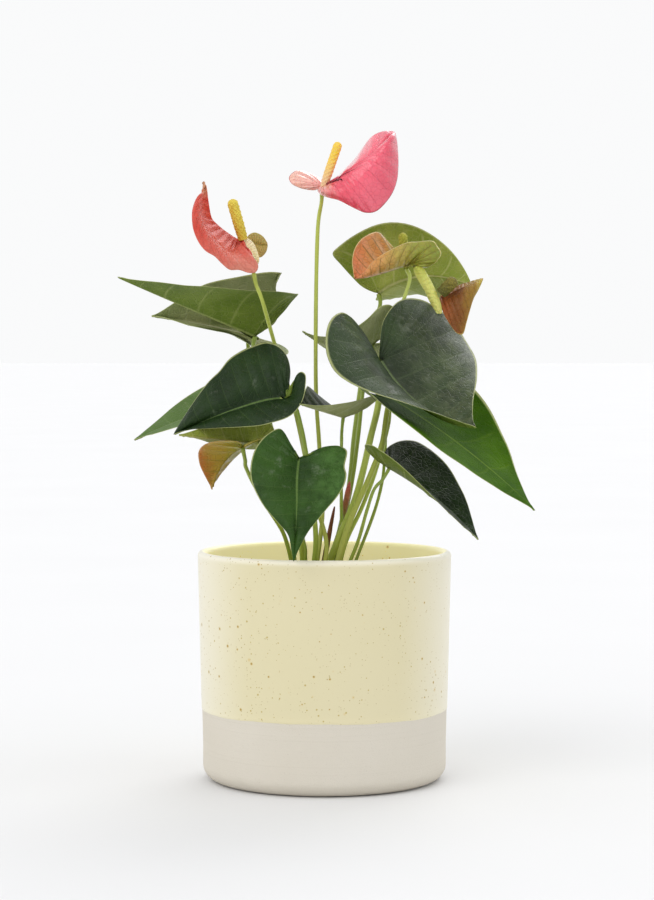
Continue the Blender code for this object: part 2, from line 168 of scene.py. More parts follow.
class Nodes:
    """The nodes of a material or a world."""

    def __init__(self, tree, coordinates):
        self.tree = tree
        self.place = self.node("ShaderNodeTexCoord", output=coordinates)

    def node(self, kind, settings=None, sockets=None, output=0):
        made = self.tree.nodes.new(kind)
        for setting, value in (settings or {}).items():
            setattr(made, setting, value)
        for socket, value in (sockets or {}).items():
            if isinstance(value, Signal):
                self.tree.links.new(value.socket, made.inputs[socket])
            else:
                made.inputs[socket].default_value = value
        return Signal(self, made.outputs[output])

    def maths(self, operation, *values):
        kinds = [v.socket.type for v in values if isinstance(v, Signal)]
        if "VECTOR" in kinds or "RGBA" in kinds:
            values = [(v, v, v) if isinstance(v, (int, float)) else v for v in values]
            return self.node("ShaderNodeVectorMath", {"operation": operation}, dict(enumerate(values)))
        return self.node("ShaderNodeMath", {"operation": operation}, dict(enumerate(values)))

    def sine(self, value):
        return self.maths("SINE", value)

    def size(self, value):
        return self.maths("ABSOLUTE", value)

    def step(self, value, low, high):
        """0 below low, 1 above high, and a smooth rise between them."""
        sockets = {"Value": value, "From Min": low, "From Max": high}
        return self.node("ShaderNodeMapRange", {"interpolation_type": "SMOOTHSTEP"}, sockets, "Result")

    def noise(self, scale, detail=2.0, where=None, rough=0.5):
        sockets = {"Vector": where or self.place, "Scale": scale, "Detail": detail, "Roughness": rough}
        return self.node("ShaderNodeTexNoise", None, sockets, "Fac")

    def cells(self, scale, feature="F1", output="Distance", where=None):
        sockets = {"Vector": where or self.place, "Scale": scale}
        return self.node("ShaderNodeTexVoronoi", {"feature": feature}, sockets, output)

    def parts(self, vector):
        """The three parts of a vector."""
        split = self.node("ShaderNodeSeparateXYZ", None, {0: vector})
        return [Signal(self, socket) for socket in split.socket.node.outputs]

    def mix(self, share, one, other):
        return self.node("ShaderNodeMix", {"data_type": "RGBA"}, {0: share, 6: one, 7: other}, 2)


class Finish(Nodes):
    """A node material."""

    def __init__(self, name, **constants):
        self.material = bpy.data.materials.new(name)
        self.material.use_nodes = True
        super().__init__(self.material.node_tree, "Object")
        self.shader = self.tree.nodes["Principled BSDF"]
        for socket, value in constants.items():
            self.shader.inputs[socket.replace("_", " ")].default_value = value

    def wear(self, colour, roughness, height, depth):
        """Puts a colour, a roughness and a relief of so many metres on the shader."""
        bump = self.node("ShaderNodeBump", None, {"Strength": 1.0, "Distance": depth, "Height": height})
        for socket, signal in (("Base Color", colour), ("Roughness", roughness), ("Normal", bump)):
            self.tree.links.new(signal.socket, self.shader.inputs[socket])
        print("finish", self.material.name, len(self.tree.nodes), "nodes")
        return self.material


# %% [markdown]
# The plant stands on a plain pale floor in soft studio light. The world is the light tent: white low
# down all round, a little dimmer overhead, and dim high up on the near side, so that the dark leaves
# keep their depth instead of mirroring a white wall. Three broad suns give the light a direction.

# %% Floor and light tent
TENT_WHITE = 0.965
TENT_TOP = 0.92
TENT_NEAR = 0.5
TENT_TINT = (0.99, 0.995, 1.0, 1.0)
FLOOR_HALF = 60.0  # metres
FLOOR_DROP = 0.0002  # metres below the pot's foot

world = bpy.data.worlds.new("tent")
scene.world = world
world.use_nodes = True
tent = Nodes(world.node_tree, "Generated")
way = tent.parts(tent.place)
high = tent.step(way[2], 0.12, 0.5)
near = tent.step(-1 * way[1], -0.1, 0.6)
glow = TENT_WHITE - high * (TENT_WHITE - TENT_TOP) - high * near * (TENT_TOP - TENT_NEAR)
background = tent.tree.nodes["Background"]
tent.tree.links.new(glow.socket, background.inputs["Strength"])
background.inputs["Color"].default_value = TENT_TINT

floor_mesh = bpy.data.meshes.new("floor")
corners = [(x * FLOOR_HALF, y * FLOOR_HALF, -FLOOR_DROP) for x, y in ((-1, -1), (1, -1), (1, 1), (-1, 1))]
floor_mesh.from_pydata(corners, [], [(0, 1, 2, 3)])
floor = bpy.data.objects.new("floor", floor_mesh)
scene.collection.objects.link(floor)
floor_finish = Finish("pale_floor", Specular_IOR_Level=0.1)
mottle = floor_finish.noise(3.0, 2.0)
floor_tone = floor_finish.mix(mottle, tone(230, 230, 231), tone(234, 234, 235))
floor_mesh.materials.append(floor_finish.wear(floor_tone, mottle * 0.1 + 0.75, mottle, 0.0001))
floor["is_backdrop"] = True

# Each sun: how far it tips from straight down and which way it faces (degrees), its power and width.
SUNS = {"key": (50, -38, 0.9, 50), "fill": (42, 62, 0.35, 60), "rear": (-50, -20, 0.7, 40)}
for name, (tip, facing, power, wide) in SUNS.items():
    sun = bpy.data.lights.new(name, "SUN")
    sun.energy = power
    sun.angle = math.radians(wide)
    lamp = bpy.data.objects.new(name, sun)
    lamp.rotation_euler = (math.radians(tip), 0, math.radians(facing))
    scene.collection.objects.link(lamp)
print("suns:", list(SUNS))

# %% [markdown]
# Every piece is a mesh worked out in millimetres. `piece` makes the object, gives it its finishes,
# hangs it on the empty of the body that it rides on, and hides the imported node that it stands for.
# Each corner of a face may carry two numbers of its own, such as how far along and how far across a
# leaf it is. They are kept as a UV layer, and the finishes draw veins and margins with them.

# %% piece: a mesh that stands for a imported node
def piece(name, node, points, faces, looks, face_looks=None, corners=None):
    mesh = bpy.data.meshes.new(name)
    mesh.from_pydata((np.asarray(points) * MM).tolist(), [], faces)
    for look in looks:
        mesh.materials.append(look)
    if face_looks is not None:
        mesh.polygons.foreach_set("material_index", face_looks)
    if corners is not None:
        layer = mesh.uv_layers.new(name="grain")
        layer.data.foreach_set("uv", np.asarray(corners, np.float32).ravel())
    mesh.shade_smooth()
    mesh.update()
    made = bpy.data.objects.new(name, mesh)
    scene.collection.objects.link(made)
    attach(made, "root")
    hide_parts(node)
    return made


def turned(profile, sides, shift=None):
    """Points and faces of a profile of (radius, height) turned about the Z axis. Its first and last
    points lie on the axis, and shift moves a point in or out by its angle and height."""
    angles = 2 * np.pi * np.arange(sides) / sides
    points = [(0, 0, profile[0][1])]
    for radius, height in profile[1:-1]:
        for angle in angles:
            r, h = shift(radius, height, angle) if shift else (radius, height)
            points.append((r * math.cos(angle), r * math.sin(angle), h))
    points.append((0, 0, profile[-1][1]))
    rings = len(profile) - 2
    faces = []
    for k in range(sides):
        after = (k + 1) % sides
        faces.append((0, 1 + after, 1 + k))
        for ring in range(rings - 1):
            low = 1 + ring * sides
            faces.append((low + k, low + after, low + sides + after, low + sides + k))
        top = 1 + (rings - 1) * sides
        faces.append((top + k, top + after, len(points) - 1))
    return points, faces


# %% [markdown]
# The pot is a straight-sided cylinder, a little wider at its rim, with a round-shouldered foot. It
# was thrown in pale clay and dipped to about a third of its height from the bottom, so the glaze ends
# in a nearly level line with a soft edge that stands a fraction of a millimetre proud. A lathed
# profile gives the true shape. The line's slight waver is a radius that depends on the angle too.

# %% The pot's shape
WALL = 5.5
FOOT_ROUND = 9.0
FOOT_RADIUS = RIM_RADIUS - 3.0
POT_FLOOR = 8.0
GLAZE_LINE = 42.0
GLAZE_THICK = 0.35
POT_SIDES = 200


def arc_points(centre, radius, start, stop, steps):
    """Points (radius, height) along an arc, from one angle to another in degrees."""
    angles = np.radians(np.linspace(start, stop, steps))
    return [(centre[0] + radius * math.cos(a), centre[1] + radius * math.sin(a)) for a in angles]


def wall_radius(height):
    share = (height - FOOT_ROUND) / (RIM_HEIGHT - FOOT_ROUND)
    return FOOT_RADIUS + (RIM_RADIUS - FOOT_RADIUS) * share


def waver(angle):
    """How far the glaze line wanders up or down, in mm."""
    return 0.28 * math.sin(3 * angle + 0.6) + 0.16 * math.sin(11 * angle) + 0.07 * math.sin(29 * angle + 2)


def pot_shift(radius, height, angle):
    if radius < FOOT_RADIUS - FOOT_ROUND or abs(height - GLAZE_LINE) > 3:
        return radius, height
    return radius, height + waver(angle)


lip = WALL / 2
profile = [(0.0, 0.0), (30.0, 0.0), (58.0, 0.0)]
profile += arc_points((FOOT_RADIUS - FOOT_ROUND, FOOT_ROUND), FOOT_ROUND, -90, 0, 12)
profile += [(wall_radius(h) - GLAZE_THICK, h) for h in (20, 30, 38, GLAZE_LINE - 0.5)]
first_glazed = len(profile)
for step in (0.0, 0.3, 0.8, 1.6):
    swell = GLAZE_THICK * (min(1.0, step / 0.8) ** 0.5 - 1)
    profile.append((wall_radius(GLAZE_LINE) + swell, GLAZE_LINE + step))
profile += [(wall_radius(h), h) for h in np.linspace(GLAZE_LINE + 6, RIM_HEIGHT - lip - 1, 10)]
profile += arc_points((RIM_RADIUS - lip, RIM_HEIGHT - lip), lip, 0, 180, 14)
inner = wall_radius(POT_FLOOR) - WALL
profile += arc_points((inner - FOOT_ROUND, POT_FLOOR + FOOT_ROUND), FOOT_ROUND, 0, -90, 6)
profile.append((0.0, POT_FLOOR))
points, faces = turned(profile, POT_SIDES, pot_shift)
per_side = len(profile) - 1
glazed = [1 if k % per_side >= first_glazed else 0 for k in range(len(faces))]
print("pot:", len(faces), "faces, glazed above", GLAZE_LINE, "mm")

# %% [markdown]
# The glaze is a warm pale yellow, satin rather than mirror bright. Iron in the clay burns through it
# as ochre and brown specks: a few large ones with a soft halo, many small ones, gathered in
# loose drifts. On the rim the glaze runs thin, and it is painted whiter there: a painted highlight
# along the top of the rim. The left and right flanks carry a painted sheen, a shade more ivory. The
# inner face is painted brighter and glows a little, a painted glow that stands in for light bouncing
# round between its pale walls. Cells give round specks: each cell has one speck, and its random colour
# sets its size, or whether there is one at all.

# %% Glaze with specks
def specks(finish, scale, share, radius, soft, drift):
    """A mask of round specks. A share of the cells has one, up to a radius in cell widths."""
    distance = finish.cells(scale)
    lot = finish.parts(finish.cells(scale, output="Color"))
    present = finish.step(lot[0], 1 - share, 1 - share * 0.6) * drift
    reach = radius * (lot[1] * 0.7 + 0.3) * present
    return finish.step(reach - distance, 0.0, soft)


# The emission strength serves the painted glow of the inner face, set further down.
glaze = Finish("glaze", Coat_Weight=0.25, Coat_Roughness=0.12, Specular_IOR_Level=0.42, Emission_Strength=0.3)
across, depth, height = glaze.parts(glaze.place)
drift = glaze.step(glaze.noise(28.0, 3.0), 0.42, 0.62)
clouds = glaze.noise(9.0, 3.0)
body = glaze.mix(clouds, tone(219, 210, 168), tone(226, 217, 182))
# Painted highlight: the top band of the rim is painted whiter.
rim_highlight = glaze.step(height, (RIM_HEIGHT - 4.5) * MM, (RIM_HEIGHT - 0.5) * MM)
body = glaze.mix(rim_highlight * 0.8, body, tone(246, 241, 224))
halo = specks(glaze, 170.0, 0.7, 0.32, 0.12, drift * 0.3 + 0.65)
large = specks(glaze, 170.0, 0.7, 0.19, 0.03, drift * 0.3 + 0.65)
medium = specks(glaze, 320.0, 0.75, 0.24, 0.04, drift * 0.3 + 0.7)
small = specks(glaze, 600.0, 0.7, 0.28, 0.06, drift * 0.3 + 0.7)
# Painted glow: the inner face is painted brighter and given a faint emission, for light bouncing inside.
from_axis = (across * across + depth * depth) ** 0.5
inner_glow = 1 - glaze.step(from_axis, (RIM_RADIUS - 4) * MM, (RIM_RADIUS - 2) * MM)
# Painted sheen: the left and right flanks are painted a shade more ivory.
flank_sheen = glaze.step(glaze.size(across), 0.04, 0.074)
body = glaze.mix(flank_sheen * 0.55, body, tone(242, 238, 222))
body = glaze.mix(inner_glow, body, tone(250, 243, 196))
glow = glaze.mix(inner_glow, tone(0, 0, 0), tone(250, 236, 168))
glaze.tree.links.new(glow.socket, glaze.shader.inputs["Emission Color"])
colour = glaze.mix(halo * 0.5, body, tone(216, 190, 116))
colour = glaze.mix(large * 0.85, colour, tone(176, 146, 58))
colour = glaze.mix(medium * 0.8, colour, tone(186, 164, 78))
colour = glaze.mix(small * 0.7, colour, tone(172, 152, 84))
relief = glaze.noise(420.0, 2.0) * 0.25 + clouds - large * 0.5
glaze_look = glaze.wear(colour, 0.30 + clouds * 0.12 + large * 0.2, relief, 0.00025)

# %% [markdown]
# Below the glaze the clay is bare: pinkish grey, dry and matt, with a fine sandy tooth, faint
# turning lines and a few tiny dark grains. Its roughness is high and its relief is fine noise.

# %% Bare clay
clay = Finish("bare_clay", Specular_IOR_Level=0.25)
height = clay.parts(clay.place)[2]
sand = clay.noise(1500.0, 3.0)
clouds = clay.noise(14.0, 3.0)
lines = clay.noise(1.0, 3.0, where=clay.place * (6.0, 6.0, 900.0))
colour = clay.mix(clouds, tone(213, 206, 191), tone(222, 216, 204))
colour = clay.mix(clay.step(sand, 0.62, 0.75) * 0.25, colour, tone(170, 160, 143))
colour = clay.mix(clay.step(lines, 0.55, 0.8) * 0.12, colour, tone(186, 177, 160))
grains = specks(clay, 420.0, 0.16, 0.16, 0.06, clouds)
colour = clay.mix(grains * 0.55, colour, tone(120, 104, 84))
# The clay is darker towards the foot, over its lowest 10 mm.
foot_band = clay.step(height, 0.010, 0.0)
colour = clay.mix(foot_band * 0.25, colour, tone(176, 167, 150))
clay_look = clay.wear(colour, 0.78 + sand * 0.15, sand + lines * 0.6, 0.00018)

pot = piece("stoneware_pot", "pot", points, faces, [clay_look, glaze_look], glazed)
print(pot.name, "has", len(pot.data.vertices), "points")

# %% [markdown]
# Inside, the pot is filled to about 22 mm below the rim with a dark peat mix. A finely divided disc
# with several sizes of noise gives its uneven top, and a few hundred small crumbs of bark and peat,
# each a dented twelve-cornered lump, are scattered over it by a spiral that never repeats an angle.

# %% Soil and its crumbs
SOIL_EDGE = wall_radius(SOIL_TOP) - WALL - 1.0
SOIL_DEPTH = 18.0
CRUMBS = 420
GOLDEN_ANGLE = math.pi * (3 - math.sqrt(5))


def soil_height(x, y):
    spot = Vector((x * 0.07, y * 0.07, 3.1))
    fine = Vector((x * 0.45, y * 0.45, 8.2))
    away = math.hypot(x, y)
    band = max(0.0, min(1.0, (away - CROWN_RADIUS - 3) / 8)) * max(0.0, min(1.0, (SOIL_EDGE + 1 - away) / 5))
    return SOIL_TOP + band * 1.5 * noise.noise(spot) + 0.55 * noise.noise(fine) * min(1.0, band + 0.2)


def soil_shift(radius, height, angle):
    if height < SOIL_TOP:
        return radius, height
    return radius, soil_height(radius * math.cos(angle), radius * math.sin(angle))


def crumb(centre, size, seed):
    """A dented lump: the twelve corners of an icosahedron, each pushed in or out."""
    g = (1 + math.sqrt(5)) / 2
    corners = [(-1, g, 0), (1, g, 0), (-1, -g, 0), (1, -g, 0), (0, -1, g), (0, 1, g)]
    corners += [(0, -1, -g), (0, 1, -g), (g, 0, -1), (g, 0, 1), (-g, 0, -1), (-g, 0, 1)]
    sides = [(0, 11, 5), (0, 5, 1), (0, 1, 7), (0, 7, 10), (0, 10, 11), (1, 5, 9), (5, 11, 4)]
    sides += [(11, 10, 2), (10, 7, 6), (7, 1, 8), (3, 9, 4), (3, 4, 2), (3, 2, 6), (3, 6, 8), (3, 8, 9)]
    sides += [(4, 9, 5), (2, 4, 11), (6, 2, 10), (8, 6, 7), (9, 8, 1)]
    flat = 0.55 + 0.25 * math.sin(seed * 1.7)
    points = []
    for corner in corners:
        dent = 0.75 + 0.35 * noise.noise(Vector(corner) * 0.9 + Vector((seed, 0, 0)))
        x, y, z = (c * size * dent / 1.9 for c in corner)
        points.append((centre[0] + x, centre[1] + y * (0.7 + 0.3 * math.cos(seed)), centre[2] + z * flat))
    return points, sides


rings = [(0.0, SOIL_TOP - SOIL_DEPTH), (SOIL_EDGE - 2, SOIL_TOP - SOIL_DEPTH), (SOIL_EDGE, SOIL_TOP - 3)]
rings += [(SOIL_EDGE * share, SOIL_TOP) for share in np.linspace(1.0, 0.04, 34)]
points, faces = turned(rings + [(0.0, SOIL_TOP)], 150, soil_shift)
for k in range(CRUMBS):
    away = CROWN_RADIUS + (SOIL_EDGE - 3 - CROWN_RADIUS) * math.sqrt((k + 0.5) / CRUMBS)
    x = away * math.cos(GOLDEN_ANGLE * k)
    y = away * math.sin(GOLDEN_ANGLE * k)
    lump, sides = crumb((x, y, soil_height(x, y) + 0.25), 0.7 + 1.5 * abs(math.sin(k * 2.3)) ** 3, k)
    faces += [tuple(c + len(points) for c in side) for side in sides]
    points += lump

soil = Finish("peat_mix", Specular_IOR_Level=0.2)
blotch = soil.noise(90.0, 4.0)
grit = soil.cells(700.0)
colour = soil.mix(blotch, tone(42, 30, 22), tone(84, 62, 44))
colour = soil.mix(soil.step(soil.noise(260.0, 2.0), 0.6, 0.75) * 0.6, colour, tone(126, 98, 66))
soil_look = soil.wear(colour, blotch * 0.1 + 0.85, blotch + grit, 0.0006)
piece("peat", "soil", points, faces, [soil_look])
print("soil:", len(points), "points,", CRUMBS, "crumbs")

# %% [markdown]
# Leaves and spathes are one family of shapes: a heart of two half blades that meet along a midrib.
# Each half is a fan of veins. Every vein leaves the midrib somewhere and ends on the margin, so a
# point is known by which vein it is on (0 at the notch by the stalk, 1 at the tip) and by how far out
# along it (0 at the midrib, 1 at the margin). The half is folded up from the midrib, curled towards
# its margin, bent along its length and twisted, which gives every pose a real leaf takes. The
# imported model's plain blades were made in the same way, so the fine blades lie where they lie.

# %% Half a blade
MARGIN = np.array([
    (0.0, 0.0), (-0.09, 0.035), (-0.27, 0.13), (-0.36, 0.28), (-0.29, 0.43), (-0.06, 0.51),
    (0.25, 0.455), (0.55, 0.30), (0.80, 0.125), (0.93, 0.035), (1.0, 0.0),
])
ROWS = 91
COLUMNS = 15


def along(key, steps):
    """A smooth curve through the key points."""
    key = np.asarray(key, float)
    ends = np.vstack([2 * key[0] - key[1], key, 2 * key[-1] - key[-2]])
    place = np.linspace(0, len(key) - 1, steps)
    first = np.minimum(place.astype(int), len(key) - 2)
    t = (place - first)[:, None]
    p0, p1, p2, p3 = (ends[first + k] for k in range(4))
    return 0.5 * (2 * p1 + (p2 - p0) * t + (2 * p0 - 5 * p1 + 4 * p2 - p3) * t**2
                  + (3 * p1 - p0 - 3 * p2 + p3) * t**3)


def bow(start, rate, distance):
    """Where a line of constant curvature ends, as (forward, upward)."""
    rate = np.where(np.abs(rate) < 1e-4, 1e-4, rate)
    forward = (np.sin(start + rate * distance) - np.sin(start)) / rate
    upward = (np.cos(start) - np.cos(start + rate * distance)) / rate
    return forward, upward


def half_blade(shape, side):
    """Points of half a blade in mm, rows by columns, with the vein and the share out of each. The
    blade runs along +X from its stalk, +Y is its left and +Z its upper side."""
    which = 0 if side > 0 else 1
    margin = along(MARGIN, ROWS)
    vein = np.linspace(0, 1, ROWS)[:, None]
    out = 1 - (1 - np.linspace(0, 1, COLUMNS + 1)) ** 1.5
    length = np.where(margin[:, 0] < 0, margin[:, 0] * shape.get("lobes", 1), margin[:, 0])[:, None]
    width = np.broadcast_to(shape["width"], 2)[which]
    reach = (margin[:, 1] * width)[:, None]
    leave = np.where(length < 0.05, 0, np.clip((length - 0.05) / 0.95, 0, 1) ** 1.25)
    a = leave + (length - leave) * out
    b = reach * out
    y, z = bow(shape["fold"][which], shape["curl"][which] / (0.5 * width), b)
    z = z + shape.get("ripple", 0) * np.sin(9 * a + 1.5 * side) * b * 0.5
    y = side * y
    turn = shape.get("twist", 0) * a
    y, z = y * np.cos(turn) - z * np.sin(turn), y * np.sin(turn) + z * np.cos(turn)
    rate = np.where(a >= 0, -shape.get("bend", 0), shape["lobe"][which])
    forward, upward = bow(0, rate, a)
    x = forward - z * np.sin(rate * a)
    z = upward + z * np.cos(rate * a)
    place = np.stack([x, y, z], axis=-1) * shape["length"]
    return place, np.broadcast_to(vein, a.shape), np.broadcast_to(out, a.shape), b * shape["length"]


# %% [markdown]
# Some blades are too crumpled or too lopsided for those few numbers. Their halves are given point by
# point instead: the line of the midrib and the line of each margin, from the stalk round to the tip.
# Each vein then runs from the midrib to the margin, and bulges by so many mm towards the near side.

# %% Half a blade given point by point
RIB_STEPS = 200


def laid_half(shape, side):
    """The same as half_blade, for a blade given by its midrib, by its left and right margins between
    the midrib's two ends, and by how far its left and right halves bulge."""
    which = 0 if side > 0 else 1
    rib = along(shape["rib"], RIB_STEPS)
    margin = along([shape["rib"][0], *shape["margins"][which], shape["rib"][-1]], ROWS)
    vein = np.linspace(0, 1, ROWS)[:, None]
    out = 1 - (1 - np.linspace(0, 1, COLUMNS + 1)) ** 1.5
    start = shape["starts"][which]
    foot = np.clip((vein[:, 0] - start) / (1 - start), 0, 1) ** shape.get("fan", 1.2)
    leave = rib[(foot * (RIB_STEPS - 1)).astype(int)]
    place = leave[:, None] + (margin - leave)[:, None] * out[None, :, None]
    reach = np.linalg.norm(margin - leave, axis=1)[:, None] * out
    lean = np.minimum(1, reach.max(axis=1) / 8)[:, None] * np.sin(np.pi * out**0.9)
    place = place + lean[..., None] * shape["bulge"][which] * np.array([0, -1.0, 0])
    return place, np.broadcast_to(vein, lean.shape), np.broadcast_to(out, lean.shape), reach


# %% [markdown]
# A blade is thickest by the midrib and thins to a rounded margin. Between its side veins the skin
# swells a little, which gives the quilted look. The midrib is a groove above and a round ridge below,
# and so, more finely, are the side veins. All of that is real relief in the mesh, so it shows in
# the outline and in how the gloss breaks up. Only the fine net of veins is left to the finish.

# %% A whole blade as one closed mesh
VEINS = 13


def turn_matrix(turn):
    """Rotation of a blade by its heading, pitch and roll in degrees."""
    h, p, r = (math.radians(a) for a in turn)
    about_z = np.array([[math.cos(h), -math.sin(h), 0], [math.sin(h), math.cos(h), 0], [0, 0, 1]])
    about_y = np.array([[math.cos(p), 0, -math.sin(p)], [0, 1, 0], [math.sin(p), 0, math.cos(p)]])
    about_x = np.array([[1, 0, 0], [0, math.cos(r), -math.sin(r)], [0, math.sin(r), math.cos(r)]])
    return about_z @ about_y @ about_x


def middle_surface(shape):
    """Points, their vein, share out and distance from the midrib, which are on the margin, and faces
    with the (vein, share out) of each corner."""
    points, grain, edge, index, faces, corners = [], [], [], {}, [], []
    for side in (1, -1):
        place, vein, out, off = (laid_half if "rib" in shape else half_blade)(shape, side)
        ids = np.zeros(vein.shape, int)
        for i in range(ROWS):
            for j in range(COLUMNS + 1):
                key = (side, i, j)
                if i == 0 or (j == 0 and np.allclose(place[i, j], place[0, 0])):
                    key = "stalk"
                elif i == ROWS - 1:
                    key = "tip"
                elif j == 0:
                    key = ("rib", i)
                if key not in index:
                    index[key] = len(points)
                    points.append(place[i, j])
                    grain.append((vein[i, j], out[i, j], off[i, j]))
                    edge.append(key in ("stalk", "tip") or j == COLUMNS)
                ids[i, j] = index[key]
        for i in range(ROWS - 1):
            for j in range(COLUMNS):
                spots = [(i, j), (i + 1, j), (i + 1, j + 1), (i, j + 1)][::side]
                quad = [int(ids[spot]) for spot in spots]
                kept = [k for k in range(4) if quad[k] not in quad[:k]]
                if len(kept) > 2:
                    faces.append([quad[k] for k in kept])
                    corners.append([(vein[spots[k]], out[spots[k]]) for k in kept])
    return np.array(points), np.array(grain), np.array(edge), faces, corners


def surface_normals(points, faces):
    normals = np.zeros_like(points)
    fans = np.array([(f[0], f[k], f[k + 1]) for f in faces for k in range(1, len(f) - 1)])
    across = np.cross(points[fans[:, 1]] - points[fans[:, 0]], points[fans[:, 2]] - points[fans[:, 0]])
    for k in range(3):
        np.add.at(normals, fans[:, k], across)
    return normals / np.linalg.norm(normals, axis=1)[:, None]


def blade(name, node, shape, looks, thickness, quilt, wave=0.8):
    """A leaf or spathe: its upper side has the first look and its under side the second."""
    points, grain, edge, faces, corners = middle_surface(shape)
    normals = surface_normals(points, faces)
    vein, out, off = grain.T
    swell = np.sin(np.pi * VEINS * (vein + 0.02 * out**2)) ** 2
    band = np.sin(np.pi * np.clip(out, 0, 1)) ** 0.7
    drift = [noise.noise(Vector(p) * 0.045 + Vector((len(name), 0, 0))) for p in points]
    lift = quilt * (swell - 0.5) * band + wave * np.array(drift) * out
    ridge = np.exp(-((swell / 0.05) ** 2)) * band * 0.22
    body = thickness * (0.5 + 0.5 * (1 - out)) * np.sqrt(np.clip(1 - out**14, 0, 1)) * ~edge
    rib = np.exp(-((off / 0.9) ** 2)) * (1 - vein) ** 0.3 * ~edge
    above = points + normals * (body / 2 + lift - 0.3 * rib)[:, None]
    below = points + normals * (lift - body / 2 - 0.75 * rib - ridge * ~edge)[:, None]
    count = len(points)
    under = np.where(edge, np.arange(count), np.arange(count) + count)
    solid = np.vstack([above, below])
    used = np.unique(np.concatenate([np.arange(count), under]))
    renumber = np.zeros(2 * count, int)
    renumber[used] = np.arange(len(used))
    ends = faces + [[int(renumber[under[c]]) for c in face[::-1]] for face in faces]
    marks = [c for face in corners for c in face] + [c for face in corners for c in face[::-1]]
    sides = [0] * len(faces) + [1] * len(faces)
    placed = solid[used]
    if "turn" in shape:
        placed = placed @ turn_matrix(shape["turn"]).T + np.array(shape["at"], float)
    return piece(name, node, placed, ends, looks, sides, marks)


# %% [markdown]
# A stalk is a tube along a smooth curve: from the crown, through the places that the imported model's
# stalk passes through, to the under side of its blade. It widens into a sheath at the foot and into a
# knuckle just under the blade. Parallel transport carries the ring from step to step without a twist.

# %% Stalks and other tubes
def unit(vector):
    return vector / np.linalg.norm(vector)


def tube(name, node, path, radii, look, sides=16, relief=None):
    """A closed tube along a path. relief gives each point's extra radius in mm from its share of the
    length and its angle."""
    way = np.gradient(path, axis=0)
    way /= np.linalg.norm(way, axis=1)[:, None]
    start = np.array([1.0, 0, 0]) if abs(way[0][0]) < 0.9 else np.array([0, 1.0, 0])
    out = unit(np.cross(way[0], start))
    share = np.linspace(0, 1, len(path))
    points = []
    for k, spot in enumerate(path):
        out = unit(out - way[k] * (out @ way[k]))
        over = np.cross(way[k], out)
        for s in range(sides):
            angle = 2 * math.pi * s / sides
            radius = radii[k] + (relief(share[k], angle) if relief else 0)
            points.append(spot + radius * (math.cos(angle) * out + math.sin(angle) * over))
    faces, marks = [], []
    for k in range(len(path) - 1):
        for s in range(sides):
            after = (s + 1) % sides
            low, high = k * sides, (k + 1) * sides
            faces.append((low + s, low + after, high + after, high + s))
            marks += [(share[k], s / sides), (share[k], (s + 1) / sides)]
            marks += [(share[k + 1], (s + 1) / sides), (share[k + 1], s / sides)]
    last = (len(path) - 1) * sides
    for ring, centre, mark, order in ((0, path[0], 0.0, -1), (last, path[-1], 1.0, 1)):
        points.append(centre)
        for s in range(sides):
            face = (ring + s, ring + (s + 1) % sides, len(points) - 1)[::order]
            faces.append(face)
            marks += [(mark, 0.5)] * 3
    return piece(name, node, np.array(points), faces, [look], corners=marks)


def stalk(name, node, spec, shape, look, thickness):
    foot, through, low, high = spec
    turn = turn_matrix(shape["turn"])
    top = np.array(shape["at"], float)
    under = -turn[:, 2]
    away = unit(under + 1.2 * unit(np.array(through[-1], float) - top))
    base = np.array([foot[0], foot[1], CROWN_TOP - 2.0])
    rise = unit(unit(np.array(through[0], float) - base) + np.array([0, 0, 1.0]))
    key = [base, base + rise * 8] + [np.array(p, float) for p in through]
    path = along(key + [top + away * 8, top + away * (thickness / 2 + 0.2)], 90)
    share = np.linspace(0, 1, len(path))
    radii = low + (high - low) * share**0.7
    radii += low * 0.55 * np.exp(-((share / 0.05) ** 2))
    radii += high * 0.22 * np.exp(-(((share - 0.965) / 0.03) ** 2))

    def fluted(at, angle):
        return 0.06 * low * math.cos(3 * angle + 5 * at) + 0.03 * math.sin(60 * at + 2 * angle)

    return tube(name, node, path, radii, look, 16, fluted)


# %% [markdown]
# A living leaf is never one green. Its two sides differ: the upper one is deep and glossy, the under
# one paler and matt. Side veins, the midrib and the margin are paler than the blade, a fine net joins
# the veins, and dried water leaves chalky marks on the upper side. The veins come from the two numbers
# on each corner, so they run exactly along the relief in the mesh. Noise in the object's own space
# adds the unevenness. Two of the leaves carry a painted sheen in streaks towards one end of their box:
# grey on the large right leaf, pale green on the front one.

# %% Leaf finishes
def vein_masks(finish, width=0.2):
    """Masks of the side veins, the midrib, the pale margin and the fine net between veins."""
    vein, out, _ = finish.parts(finish.node("ShaderNodeUVMap", {"uv_map": "grain"}))
    wave = finish.size(finish.sine((vein + out * out * 0.02) * (math.pi * VEINS)))
    inner = finish.step(out, 0.0, 0.06) * (1 - finish.step(out, 0.82, 0.95))
    veins = (1 - finish.step(wave, 0.0, width)) * inner
    midrib = 1 - finish.step(out, 0.012, 0.035)
    margin = finish.step(out, 0.962, 0.99)
    net = 1 - finish.step(finish.cells(290.0, "DISTANCE_TO_EDGE"), 0.01, 0.09)
    return veins, midrib, margin, net


def sheen_mask(finish, node, axis, start, full):
    """Where a painted sheen, grey or pale, lies: along one direction of a node's box, in streaks."""
    low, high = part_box(node)
    share = (finish.parts(finish.place)[axis] - low[axis]) / (high[axis] - low[axis])
    streaks = finish.step(finish.noise(150.0, 4.0, rough=0.65), 0.35, 0.68)
    return finish.step(share, start, full) * (streaks * 0.75 + 0.25)


